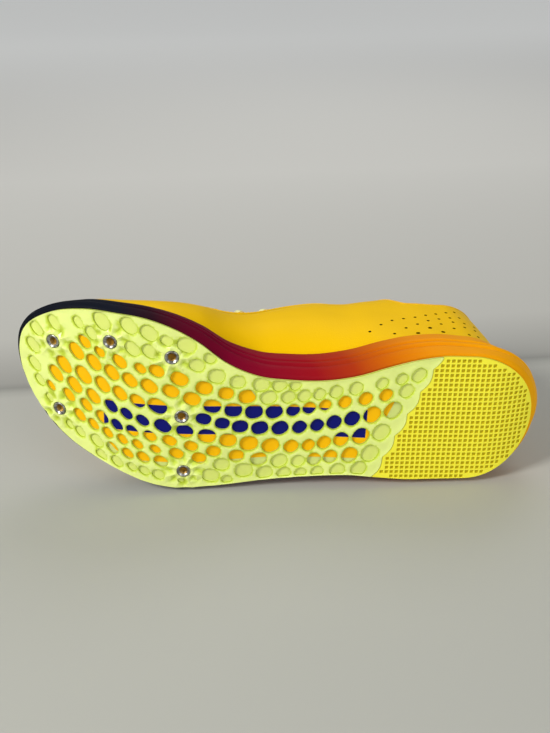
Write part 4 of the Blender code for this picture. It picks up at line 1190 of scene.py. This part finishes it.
def crease_stars(piece):
    """Flat shading for the folds, so that each catches the light as one facet."""
    turned, start = resting_frame()
    faces = piece.data.polygons
    centres, normals = np.empty(len(faces) * 3, np.float32), np.empty(len(faces) * 3, np.float32)
    faces.foreach_get("center", centres)
    faces.foreach_get("normal", normals)
    plan = ((centres.reshape(-1, 3) - start) @ turned)[:, :2]
    down = (normals.reshape(-1, 3) @ turned)[:, 2]
    away = np.linalg.norm(plan[:, None] - scaled(SOCKETS)[None], axis=2).min(1)
    folded = (down < -0.8) & (away > SOCKET_RADIUS + 0.0004) & (away < STAR_REACH)
    faces.foreach_set("use_smooth", ~folded)


def mark_depth(piece, full, face):
    """A point attribute that runs from 0 on the ground face to 1 at a depth, for painted shade down recesses.

    Depth is taken along the sole's normal. Where the ground face itself dips, about a third of that counts.
    """
    turned, start = resting_frame()
    places = np.empty(len(piece.data.vertices) * 3, np.float32)
    piece.data.vertices.foreach_get("co", places)
    own = (places.reshape(-1, 3) - start) @ turned
    at, reach = own[:, 0] / length(), 0.002
    slope = (ground(at + reach, own[:, 1]) - ground(at - reach, own[:, 1])) / (2 * reach * length())
    depth = (own[:, 2] - ground(at, own[:, 1])) / np.sqrt(1 + slope**2)
    # Two thirds of the folds' own dip are taken off; the third that is left gives the star folds a light
    # painted shade.
    depth -= 0.68 * np.clip(face(own[:, :2]), 0, None)
    layer = piece.data.attributes.new("depth", "FLOAT", "POINT")
    layer.data.foreach_set("value", np.clip(depth / full, 0, 1).astype(np.float32))


def build_plate():
    """The moulded plate: a web between ovals that are open over the panel and closed elsewhere."""
    cells, open_ones = oval_loops()
    holes = socket_rings(SOCKET_RADIUS + 0.00025, cells.shape[1])
    cells = np.concatenate([cells, holes])
    through = np.concatenate([open_ones, np.ones(len(holes), bool)])
    profile = ((0.00005, 0.03), (0.00013, 0.12), (0.00019, 0.34), (0.00024, 0.74))
    pitch, lip, dip = 0.0012, -0.00030, 0.00028
    points, faces = pierced_sheet(
        pad_part(True), cells, through, profile, plate_face, PLATE, pitch, lip, dip, star_points()
    )
    piece = mesh_piece("oval_web_plate", points, faces, [plate_finish()])
    # The depth attribute carries the plate's painted shade down the oval walls and in the star folds.
    mark_depth(piece, PLATE, plate_face)
    crease_stars(piece)
    return dress(piece, "plate", "spike_plate")


def flat_film(name, outline, low, high, material, pitch=0.004):
    """A thin film between two heights, bent to the sole."""
    free = even_points(outline.min(0), outline.max(0), pitch)
    free = free[inside(free, outline)]
    free = free[distance_to(free, outline) > pitch * 0.4]
    holes = socket_rings(SOCKET_RADIUS + 0.00045, 16)
    middle = holes.mean(1)
    holes = [hole for hole in holes[inside(middle, outline)] if distance_to(hole, outline).min() > 0.0004]
    for hole in holes:
        free = free[~inside(free, hole) & (distance_to(free, hole) > pitch * 0.3)]
    flat, triangles = web(outline, holes, free)
    count = len(flat)
    points = np.concatenate([bend(flat, np.full(count, low)), bend(flat, np.full(count, high))])
    ends = np.concatenate([triangles[:, [0, 1]], triangles[:, [1, 2]], triangles[:, [2, 0]]])
    _, where, times = np.unique(np.sort(ends, 1), axis=0, return_inverse=True, return_counts=True)
    rim = ends[times[where.reshape(-1)] == 1]
    walls = np.stack([rim[:, 0], rim[:, 1], rim[:, 1] + count, rim[:, 0] + count], 1)
    faces = [*triangles[:, ::-1], *(triangles + count), *walls]
    return mesh_piece(name, points, faces, [material])


def finer(loop, step):
    """A loop with extra points along its straight edges."""
    found = []
    for start, end in zip(loop, np.roll(loop, -1, 0)):
        count = max(int(np.linalg.norm(end - start) / step), 1)
        found.append(start + (end - start) * np.arange(count)[:, None] / count)
    return np.concatenate(found)


def build_backing():
    """Pale backing sheet with the orange panel and one plain navy band as films on its ground side."""
    look, low = settings().plate, PLATE + GAP
    lime, orange = film_finish("lime_film", "D5E083"), film_finish("orange_film", look.panel)
    navy = film_finish("navy_film", look.band)
    sheet = flat_film("backing_sheet", pad_part(True, 0.0012, 81), low, low + BACKING, lime)
    dress(sheet, "backing", "plate_backing")
    panel = flat_film("orange_panel", finer(scaled(PANEL), 0.004), low - 0.00012, low, orange)
    dress(panel, "backing")
    start, end = scaled(BAND_FRONT), scaled(BAND_REAR)
    way = (end - start) / np.linalg.norm(end - start)
    side = np.array([-way[1], way[0]]) * BAND_WIDTH / 2
    corners = np.array([start + side, end + side, end - side, start - side])[::-1]
    band = flat_film("navy_band", finer(corners, 0.004), low - 0.00022, low - 0.00014, navy)
    return dress(band, "backing")


def level_face(points):
    """A ground face without any relief."""
    return np.zeros(len(points))


def build_tread():
    """Heel tread: a flat rubber pad with a square grid of pits, each with a rounded lip."""
    look = settings().tread
    outline = pad_part(False)
    pitch, half = look.pit_pitch, look.pit_width / 2
    x = np.arange(0.0012, 0.33 * length(), pitch)
    y = np.arange(-14, 15) * pitch + 0.0003
    centres = np.stack(np.meshgrid(x, y, indexing="ij"), -1).reshape(-1, 2)
    corner = half * 0.14
    side = np.array([(half, -half + corner), (half, half - corner)])
    quarter = np.array([(0.0, 1.0), (-1.0, 0.0)])
    square = np.concatenate([side @ np.linalg.matrix_power(quarter, number) for number in range(4)])
    cells = centres[:, None] + square[None]
    corners = cells.reshape(-1, 2)
    clear = inside(corners, outline) & (distance_to(corners, outline) > 0.00025)
    cells = cells[clear.reshape(len(cells), -1).all(1)]
    profile = ((0.00004, 0.03), (0.00008, 0.12), (0.00012, look.pit_depth / TREAD))
    through = np.zeros(len(cells), bool)
    points, faces = pierced_sheet(outline, cells, through, profile, level_face, TREAD, 0.0040, 0.0, 0.0, ())
    piece = mesh_piece("pitted_heel_tread", points, faces, [tread_finish()])
    # The depth attribute carries the painted shade in the pits.
    mark_depth(piece, look.pit_depth, level_face)
    return dress(piece, "tread", "heel_tread")


def build_sockets():
    """Six turned inserts: a bevelled ring, a screw thread as brown metal ridges down the well, and a brown
    floor.
    """
    # The floor and the thread down the well are brown, and darker than the steel ring.
    steel, brown_floor = steel_finish(), finish("brown_socket_floor", "B4841E", 0.9)[0]
    well = finish("brown_threaded_well", "A07C34", 0.45, Metallic=0.6)[0]
    sides = 40
    ridges = np.arange(16)
    depth = (1 + ridges) * THREAD_STEP
    radius = SOCKET_WELL - np.where(ridges % 2 == 0, THREAD_CREST, THREAD_ROOT)
    profile = [
        (SOCKET_RADIUS, SOCKET_DEPTH - SOCKET_STAND),
        (SOCKET_RADIUS, -0.55 * SOCKET_STAND),
        (SOCKET_RADIUS - 0.00015, -0.9 * SOCKET_STAND),
        (SOCKET_RADIUS - 0.00035, -SOCKET_STAND),
        (SOCKET_WELL + 0.00075, -SOCKET_STAND),
        (SOCKET_WELL + 0.00060, -0.9 * SOCKET_STAND),
        (SOCKET_WELL - 0.00030, 0.0),
        *zip(radius, depth),
    ]
    floor = [(SOCKET_WELL, 0.0022), (SOCKET_WELL * 0.5, 0.0025), (0.00002, 0.0023)]
    turned, start = resting_frame()
    for number, centre in enumerate(scaled(SOCKETS), 1):
        foot, tip = bend(centre[None], np.zeros(1))[0], bend(centre[None], np.ones(1))[0]
        axis = tip - foot
        first = np.cross(axis, (0.0, 1.0, 0.0))
        first /= np.linalg.norm(first)
        second = np.cross(axis, first)
        spokes = circle(sides) @ np.stack([first, second])
        made = []
        for name, path, material in (("spike_insert", profile, steel), ("socket_floor", floor, brown_floor)):
            table = np.array(path, float)
            rings = foot + spokes[None] * table[:, 0][:, None, None] + axis * table[:, 1][:, None, None]
            faces = capped(len(table), sides)
            made.append(mesh_piece(f"{name}_{number}", rings.reshape(-1, 3), faces, [material, well]))
        insert, bottom = made
        centres = np.empty(len(insert.data.polygons) * 3, np.float32)
        insert.data.polygons.foreach_get("center", centres)
        offset = centres.reshape(-1, 3) - (turned @ foot + start)
        along = offset @ (turned @ axis)
        radial = np.sqrt(np.clip((offset**2).sum(1) - along**2, 0, None))
        threaded = (radial < SOCKET_WELL) & (along > 0)
        insert.data.polygons.foreach_set("material_index", threaded.astype(np.int32))
        dress(insert, "steel", f"spike_socket_{number}")
        dress(bottom, "steel")


def shell(name, outer, inner, finishes, around, open_top=None):
    """A closed thin body between an outer and an inner grid of equal size.

    Where open_top is false, the top row meets its partner across the crest and has no edge of its own.
    """
    rows, columns = outer.shape[:2]
    count = rows * columns
    points = np.concatenate([outer.reshape(-1, 3), inner.reshape(-1, 3)])
    quads = grid_faces(rows, columns, around=around)
    faces = [*quads, *(quads[:, ::-1] + count)]
    edges = [np.arange(columns), (rows - 1) * columns + np.arange(columns)]
    for edge in edges:
        following = np.roll(edge, -1)
        pairs = np.stack([edge, following, following + count, edge + count], 1)
        if open_top is not None and edge[0] > 0:
            pairs = pairs[open_top]
        faces += list(pairs if around else pairs[:-1])
    if not around:
        for edge in (np.arange(rows) * columns, np.arange(rows) * columns + columns - 1):
            pairs = np.stack([edge[:-1], edge[1:], edge[1:] + count, edge[:-1] + count], 1)
            faces += list(pairs)
    return mesh_piece(name, points, faces, finishes)


def build_upper():
    """The upper: rows of the last's surface from the rim to the collar and throat, outer and inner wall."""
    at, _ = turn()
    top = top_angle()
    down = -1 + np.arange(12)[:, None] / 12 + 0 * top[None]
    up = top[None] * (np.linspace(0, 1, 34) ** 0.9)[:, None]
    angles = np.concatenate([down, up])
    outset = wall_top()[0]
    walls = []
    for offset in (0.0, UPPER_WALL * 0.75):
        foot = parallel(outset - RIM_WALL - GAP - offset)
        tuck = raised(foot, footbed_height(at) + GAP + 0.0002)
        walls.append(np.concatenate([tuck[None], last_surface(angles, offset)]))
    knit = upper_finish("coated_knit", settings().upper.knit, 0.46)
    below_crest = top < math.pi / 2 - 1e-4
    edge_open = below_crest | np.roll(below_crest, -1)
    dress(shell("knit_upper", *walls, [knit], True, edge_open), "knit", "upper")
    build_eyestay()
    build_eyelets()
    build_binding()
    build_perforations()


def patch(name, columns, low, high, rows, lift, thickness, finishes):
    """A thin overlay on the last, lifted a little off it, between two angles of each column."""
    share = np.linspace(0, 1, rows)[:, None]
    angles = low[None] + (high - low)[None] * share
    outer = last_surface(angles, -(lift + thickness))[:, columns]
    inner = last_surface(angles, -lift)[:, columns]
    return shell(name, outer, inner, finishes, False)


def build_eyestay():
    """Film round the throat: from the throat's edge to a line further down, closing in a curve in front."""
    at = turn()[0]
    count = len(at)
    edge = top_angle()
    past = np.clip((at - THROAT_FRONT) / 0.055, 0, 1)
    width = (THROAT_HALF_WIDTH + 0.0125) * np.sqrt(1 - past**2)
    low = np.minimum(angle_at(width), edge)
    first = int(np.argmax(at > THROAT_TOP - 0.022))
    last = int(np.argmax(at > THROAT_FRONT + 0.054))
    film = upper_finish("eyestay_film", "F6CB10", 0.34)
    thickness = settings().upper.overlay
    thread = finish("polyester_thread", "F6E08A", 0.6)[0]
    inner, outer = np.arange(first, last), (count - np.arange(first, last)) % count
    for name, columns in (("inner_eyestay", inner), ("outer_eyestay", outer)):
        piece = patch(name, columns, low, edge, 10, 0.00005, thickness, [film])
        dress(piece, "knit")
        inner_side = name.startswith("inner")
        where = np.linspace(THROAT_TOP - 0.018, THROAT_FRONT - 0.01, 90)
        line, normals = on_last(where, THROAT_HALF_WIDTH + 0.0108, inner_side)
        stitches(name + "_stitches", line + normals * thickness, normals, thread)


def eyelets():
    """Stations of the eyelets, and their distances from the crest, which get less towards the ankle."""
    at = np.linspace(THROAT_FRONT - 0.028, THROAT_TOP + 0.022, EYELET_PAIRS)
    return at, THROAT_HALF_WIDTH + np.interp(at, (0.45, 0.58), (EYELET_REAR_INSET, EYELET_INSET))


def build_eyelets():
    """A moulded ring round each of the twelve places where the lace goes through the film."""
    angle = np.arange(-1, 21) * 2 * math.pi / 20
    points, faces = [], []
    for inner_side in (True, False):
        for at, reach in zip(*eyelets()):
            spot, out = on_last(np.array(at), reach, inner_side)
            across = np.cross(out, (1.0, 0.0, 0.0))
            across /= np.linalg.norm(across)
            along = np.cross(across, out)
            spokes = along * np.cos(angle)[:, None] + across * np.sin(angle)[:, None]
            path = spot + out * EYELET_TUBE + EYELET_RADIUS * spokes
            faces += list(grid_faces(20, 8, around=True, up=True) + len(points) * 20 * 8)
            points.append(tube(path, EYELET_TUBE, 8)[1:-1].reshape(-1, 3))
    rubber = finish("eyelet_rubber", "E9B90C", 0.5)[0]
    return dress(mesh_piece("eyelet_rings", np.concatenate(points), faces, [rubber]), "knit")


def angle_at_share(share):
    """Angles on the last at a share of the height from the foam's rim to the upper's edge, all round."""
    foot, _, _, middle, crest, square = section()
    top = last_surface(top_angle())[0, :, 2]
    height = foot[:, 2] + (top - foot[:, 2]) * share
    rise = np.clip((height - middle) / (crest - middle), 0, 1)
    sunk = -(middle - height) / (middle - foot[:, 2])
    return np.where(height >= middle, np.arcsin(rise ** (square / 2)), sunk)


def surface_frame(where, share, inner_side):
    """A point on the last at a station and height share, with its directions along, up and out."""
    at, order = turn()[0], side_columns(inner_side)
    rows = last_surface(np.stack([angle_at_share(share + step) for step in (-0.02, 0.0, 0.02)]))[:, order]

    def read(row, station):
        return np.array([np.interp(station, at[order], rows[row][:, k]) for k in range(3)])

    along = read(1, where + 0.01) - read(1, where - 0.01)
    rise = read(2, where) - read(0, where)
    along /= np.linalg.norm(along)
    rise -= (rise @ along) * along
    rise /= np.linalg.norm(rise)
    out = np.cross(along, rise) * (-1 if inner_side else 1)
    return read(1, where), along, rise, out


def discs(places, depth, sides=12):
    """Short prisms from (frame, radius) pairs, each set a little proud of its surface."""
    points, faces = [], []
    for number, ((centre, along, rise, out), radius) in enumerate(places):
        ring = centre + radius * circle(sides) @ np.stack([along, rise])
        points += [ring + out * 0.00006, ring - out * depth]
        faces += capped(2, sides, number * 2 * sides)
    return np.concatenate(points), faces


def build_perforations():
    """Punched holes on the heel quarter as dots of painted shade, in slanting rows, each a curve through
    start, middle and end.
    """
    rows = (
        # first station, step, count, then height shares at start, middle and end
        (0.317, -0.0253, 9, 0.20, 0.58, 0.82),
        (0.271, -0.0263, 7, 0.14, 0.49, 0.66),
        (0.226, -0.0290, 6, 0.15, 0.46, 0.53),
        (0.174, -0.0280, 4, 0.19, 0.36, 0.40),
        (0.119, -0.0240, 2, 0.19, 0.20, 0.22),
    )
    places, wide = [], ((2, 0), (2, 1), (3, 0))
    for inner_side in (True, False):
        for number, (first, step, count, *heights) in enumerate(rows):
            for k in range(count):
                share = float(blend((0, 0.5, 1), heights, k / max(count - 1, 1)))
                radius = WIDE_HOLE if (number, k) in wide else HOLE
                places.append((surface_frame(first + step * k, share, inner_side), radius))
    # Painted shade: each punched hole is a dark disc set on the knit, standing for the shade inside the hole.
    dark = finish("painted_hole_shade", "3E2C04", 0.9, Specular_IOR_Level=0.0)[0]
    return dress(mesh_piece("heel_perforation_shade", *discs(places, HOLE_DEPTH), [dark]), "knit")


def build_binding():
    """Folded binding round the collar and throat: a thin tube along the upper's edge."""
    at, _ = turn()
    top = top_angle()
    count = len(at)
    first = int(np.argmax(top > math.pi / 2 - 1e-4))
    columns = np.concatenate([np.arange(count - first + 1, count), np.arange(0, first)])
    edge = last_surface(top, UPPER_WALL * 0.4)[0][columns]
    rings = tube(edge, BINDING_RADIUS)
    tape = weave_finish("binding_tape", "EDB70A", 0.0006)
    piece = mesh_piece("edge_binding", rings.reshape(-1, 3), capped(*rings.shape[:2]), [tape])
    return dress(piece, "knit")


def stitches(name, line, normals, thread, spacing=0.0024):
    """Small raised stitches along a line: each a six-sided bar, thinner at its ends."""
    run = np.concatenate([[0], np.cumsum(np.linalg.norm(np.diff(line, axis=0), axis=1))])
    starts = np.arange(spacing / 2, run[-1] - spacing, spacing)
    points, faces = [], []
    for number, start in enumerate(starts):
        reach = start + np.array([0, 0.15, 0.5, 0.85, 1.0]) * spacing * 0.72
        path = np.stack([np.interp(reach, run, line[:, k]) for k in range(3)], 1)
        out = np.stack([np.interp(reach, run, normals[:, k]) for k in range(3)], 1)
        path += out * np.array([-0.0001, 0.0001, 0.0002, 0.0001, -0.0001])[:, None]
        rings = tube(path, np.array([0.00012, 0.00022, 0.00026, 0.00022, 0.00012]), 6)
        points.append(rings.reshape(-1, 3))
        faces += capped(5, 6, number * 30)
    return dress(mesh_piece(name, np.concatenate(points), faces, [thread]), "knit")


def build_tongue_and_insole():
    """Tongue: a thin strip under the throat, bowed over the foot. Insole: a flat liner with a soft edge."""
    where = np.linspace(THROAT_FRONT + 0.03, THROAT_TOP - 0.01, 48)
    widths = np.linspace(-1, 1, 33) * (THROAT_HALF_WIDTH + TONGUE_MARGIN)
    under = UPPER_WALL + TONGUE_GAP
    narrow = 1 - 0.35 * np.clip((where - THROAT_FRONT + 0.10) / 0.13, 0, 1)
    outer, inner = [], []
    for w in widths:
        line = []
        for at_one, slim in zip(where[::6], narrow[::6]):
            line.append(on_last(np.array(at_one), abs(w) * slim, w >= 0))
        knots = np.linspace(0, 1, len(line))
        points = blend(knots, [entry[0] for entry in line], np.linspace(0, 1, 40))
        normals = blend(knots, [entry[1] for entry in line], np.linspace(0, 1, 40))
        outer.append(points - normals * under)
        inner.append(points - normals * (under + TONGUE))
    outer, inner = np.array(outer).transpose(1, 0, 2), np.array(inner).transpose(1, 0, 2)
    middle = len(widths) // 2
    grown_outer, grown_inner = [outer], [inner]
    for share in np.linspace(0.1, 1, 10):
        lift = np.array([-0.007, 0.0, 0.0115]) * share
        pull = np.array([1.0, 1 - 0.32 * share, 1.0])
        for grown, source in ((grown_outer, outer), (grown_inner, inner)):
            grown.append((source[-1, middle] + (source[-1] - source[-1, middle]) * pull + lift)[None])
    lining = weave_finish("tongue_textile", "EFC53A", 0.0007)
    tongue = shell("thin_tongue", np.concatenate(grown_outer), np.concatenate(grown_inner), [lining], False)
    dress(tongue, "lining", "tongue")

    at, _ = turn()
    outset, _ = wall_top()
    inset = outset - RIM_WALL - UPPER_WALL - 3 * GAP
    low = footbed_height(at) + GAP
    rings = [raised(parallel(inset - FOOTBED_INSET), low), raised(parallel(inset), low)]
    for angle in np.linspace(0, math.pi / 2, 6):
        rise = LINER_EDGE + (LINER - LINER_EDGE) * math.sin(angle)
        rings.append(raised(parallel(inset - 0.0012 * (1 - math.cos(angle))), low + rise))
    rings.append(raised(parallel(inset - FOOTBED_INSET), low + LINER))
    insole = ringed("sock_liner", rings, weave_finish("liner_textile", "D8A81C", 0.0009))
    return dress(insole, "lining", "insole")


def tube(path, radius, sides=10):
    """Points of a round tube along a path, its ring turned by the least from point to point."""
    ahead = np.gradient(path, axis=0)
    ahead /= np.linalg.norm(ahead, axis=1)[:, None]
    side = np.cross(ahead, (0.0, 0.0, 1.0))
    side /= np.linalg.norm(side, axis=1)[:, None]
    over = np.cross(side, ahead)
    ring = circle(sides) @ np.stack([side, over], 1)
    return path[:, None] + ring * np.reshape(radius, (-1, 1, 1))


def build_lace():
    """Round braided lace, crossed from eyelet to eyelet, each end dipping through its eyelet."""
    radius = settings().upper.lace_radius
    pairs = list(zip(*eyelets()))
    spans = [(pairs[0], pairs[0]), *zip(pairs[:-1], pairs[1:]), *zip(pairs[1:], pairs[:-1])]
    sides, points, faces, first = 10, [], [], 0
    share = np.linspace(0, 1, 15)
    for number, (start, end) in enumerate(spans):
        path, normals = [], []
        for s in share:
            at, reach = np.array(start) + (np.array(end) - np.array(start)) * s
            point, normal = on_last(np.array(at), abs(reach * (1 - 2 * s)), s <= 0.5)
            path.append(point)
            normals.append(normal)
        path, normals = np.array(path), np.array(normals)
        over = 0.0006 if number > 5 else 0.0
        lift = radius + 0.0007 + over * np.sin(math.pi * share)
        line = path + normals * lift[:, None]
        deep = 0.0032 - 0.00004 * number
        dip_in = path[0] - normals[0] * [[deep], [0.0006], [-0.0011]]
        dip_out = path[-1] - normals[-1] * [[-0.0011], [0.0006], [deep - 0.00002]]
        line = np.concatenate([dip_in, line[1:-1], dip_out])
        knots = np.linspace(0, 1, len(line))
        line = blend(knots, line, np.linspace(0, 1, 60))
        rings = tube(line, radius, sides)
        points.append(rings.reshape(-1, 3))
        faces += capped(len(line), sides, first)
        first += len(line) * sides
    braid = weave_finish("lace_braid", "E9E9A8", 0.0008)
    return dress(mesh_piece("crossed_lace", np.concatenate(points), faces, [braid]), "lace", "lace")


def build_stage():
    """Pale floor, three soft lamps, a grey-white surround, and the camera at the photograph's angle."""
    look = settings().stage
    reach = 12.0
    mesh = bpy.data.meshes.new("floor")
    corners = [(-reach, -reach, 0), (reach, -reach, 0), (reach, reach, 0), (-reach, reach, 0)]
    mesh.from_pydata(corners, [], [(0, 1, 2, 3)])
    floor = bpy.data.objects.new("floor", mesh)
    bpy.context.scene.collection.objects.link(floor)
    made, tree, shader = finish("matt_table", "BDBCB5", 0.8, Emission_Color=(0.98, 1.0, 1.0, 1.0))
    source = add_node(tree, "ShaderNodeTexCoord").outputs["Object"]
    spot = add_node(tree, "ShaderNodeSeparateXYZ", {"Vector": source})
    links = {0: spot.outputs["X"], 2: spot.outputs["Y"]}
    back = add_node(tree, "ShaderNodeMath", links, operation="MULTIPLY_ADD")
    back.inputs[1].default_value = -0.064
    links = {"Value": back.outputs["Value"]}
    share = add_node(tree, "ShaderNodeMapRange", links, From_Min=-0.5, From_Max=1.5)
    ramp = add_node(tree, "ShaderNodeValToRGB", {"Fac": share.outputs["Result"]})
    shades = (
        # share of the way back, colour, with a painted shade line where the table meets the wall
        (0.0000, "B0B0A8"),
        (0.2910, "B6B6AE"),
        (0.2975, "8F8F89"),
        (0.3000, "A09F99"),
        (0.3400, "BFBEB7"),
        (0.6000, "D8D7D1"),
    )
    paint(ramp, shades)
    tree.links.new(ramp.outputs["Color"], shader.inputs["Base Color"])
    # Far behind the shoe the table glows a little, in place of a lamp of its own on the backdrop.
    glow = add_node(
        tree,
        "ShaderNodeMapRange",
        links,
        interpolation_type="SMOOTHSTEP",
        From_Min=0.4,
        From_Max=2.6,
        To_Max=0.31,
    )
    tree.links.new(glow.outputs["Result"], shader.inputs["Emission Strength"])
    mesh.materials.append(made)

    world = bpy.context.scene.world or bpy.data.worlds.new("studio")
    bpy.context.scene.world = world
    world.use_nodes = True
    background = world.node_tree.nodes["Background"]
    background.inputs["Color"].default_value = (0.95, 0.97, 1.0, 1.0)
    background.inputs["Strength"].default_value = 0.28
    bpy.context.scene.view_settings.view_transform = "Standard"
    lamps = (
        # name, place, size, power, colour
        ("window", (-1.15, -0.85, 1.05), 0.45, 22.0, (1.0, 0.99, 0.96)),
        ("fill", (0.9, -1.3, 0.7), 1.2, 9.0, (0.97, 0.98, 1.0)),
        ("rim", (0.3, 1.0, 1.3), 0.9, 6.5, (1.0, 0.99, 0.97)),
    )
    for name, spot, size, power, colour in lamps:
        light = bpy.data.lights.new(name, "AREA")
        light.size, light.energy, light.color = size, power, colour
        lamp = bpy.data.objects.new(name, light)
        bpy.context.scene.collection.objects.link(lamp)
        lamp.location = spot
        lamp.rotation_euler = (Vector((0, 0, 0.04)) - Vector(spot)).to_track_quat("-Z", "Y").to_euler()

    ahead = Vector(
        (
            math.sin(look.azimuth) * math.cos(look.elevation),
            math.cos(look.azimuth) * math.cos(look.elevation),
            -math.sin(look.elevation),
        )
    )
    camera = bpy.data.objects.new("camera", bpy.data.cameras.new("camera"))
    bpy.context.scene.collection.objects.link(camera)
    camera.data.sensor_fit, camera.data.sensor_width = "HORIZONTAL", SENSOR
    camera.data.lens = SENSOR * FOCAL_PIXELS / PICTURE_WIDTH
    camera.location = Vector(look.aim) - ahead * look.distance
    turned = ahead.to_track_quat("-Z", "Y").to_matrix() @ Matrix.Rotation(look.roll, 3, "Z")
    camera.rotation_euler = turned.to_euler()
    bpy.context.scene.camera = camera


class SHOE_OT_midsole(bpy.types.Operator):
    """Build the foam midsole"""

    bl_idname = "shoe.midsole"
    bl_label = "Foam midsole"

    def execute(self, context):
        build_midsole()
        return {"FINISHED"}


class SHOE_OT_plate(bpy.types.Operator):
    """Build the spike plate with its ovals"""

    bl_idname = "shoe.plate"
    bl_label = "Spike plate"

    def execute(self, context):
        build_plate()
        return {"FINISHED"}


class SHOE_OT_backing(bpy.types.Operator):
    """Build the sheet and films behind the plate"""

    bl_idname = "shoe.backing"
    bl_label = "Plate backing"

    def execute(self, context):
        build_backing()
        return {"FINISHED"}


class SHOE_OT_tread(bpy.types.Operator):
    """Build the pitted heel tread"""

    bl_idname = "shoe.tread"
    bl_label = "Heel tread"

    def execute(self, context):
        build_tread()
        return {"FINISHED"}


class SHOE_OT_sockets(bpy.types.Operator):
    """Build the six threaded spike inserts"""

    bl_idname = "shoe.sockets"
    bl_label = "Spike inserts"

    def execute(self, context):
        build_sockets()
        return {"FINISHED"}


class SHOE_OT_upper(bpy.types.Operator):
    """Build the knit upper with its eyestay and perforations"""

    bl_idname = "shoe.upper"
    bl_label = "Upper"

    def execute(self, context):
        build_upper()
        return {"FINISHED"}


class SHOE_OT_tongue_and_insole(bpy.types.Operator):
    """Build the tongue and the sock liner"""

    bl_idname = "shoe.tongue_and_insole"
    bl_label = "Tongue and insole"

    def execute(self, context):
        build_tongue_and_insole()
        return {"FINISHED"}


class SHOE_OT_lace(bpy.types.Operator):
    """Build the crossed lace"""

    bl_idname = "shoe.lace"
    bl_label = "Lace"

    def execute(self, context):
        build_lace()
        return {"FINISHED"}


class SHOE_OT_stage(bpy.types.Operator):
    """Set up the floor, the lamps and the camera"""

    bl_idname = "shoe.stage"
    bl_label = "Stage"

    def execute(self, context):
        build_stage()
        return {"FINISHED"}


OPERATORS = (
    SHOE_OT_stage,
    SHOE_OT_midsole,
    SHOE_OT_plate,
    SHOE_OT_backing,
    SHOE_OT_tread,
    SHOE_OT_sockets,
    SHOE_OT_upper,
    SHOE_OT_tongue_and_insole,
    SHOE_OT_lace,
)


class SHOE_PT_panel(bpy.types.Panel):
    """Sidebar panel that lists the steps"""

    bl_idname = "SHOE_PT_panel"
    bl_label = "Track spike shoe"
    bl_space_type = "VIEW_3D"
    bl_region_type = "UI"
    bl_category = "Spike shoe"

    def draw(self, context):
        shoe = context.scene.spike_shoe
        for group in (shoe.form, shoe.plate, shoe.foam, shoe.tread, shoe.upper, shoe.stage):
            box = self.layout.box()
            for name in group.__annotations__:
                box.prop(group, name)
        for operator in OPERATORS:
            self.layout.operator(operator.bl_idname)


GROUPS = (ShoeForm, PlateLook, FoamLook, TreadLook, UpperLook, StageLook, SpikeShoe)


def register():
    """Add the groups, the operators and the panel."""
    for made in (*GROUPS, *OPERATORS, SHOE_PT_panel):
        bpy.utils.register_class(made)
    bpy.types.Scene.spike_shoe = PointerProperty(type=SpikeShoe)


def unregister():
    """Take them away in the reverse order."""
    del bpy.types.Scene.spike_shoe
    for made in (SHOE_PT_panel, *reversed(OPERATORS), *reversed(GROUPS)):
        bpy.utils.unregister_class(made)


def main():
    """Build every piece in order."""
    register()
    for operator in OPERATORS:
        group, name = operator.bl_idname.split(".")
        getattr(getattr(bpy.ops, group), name)()


if __name__ == "__main__":
    main()
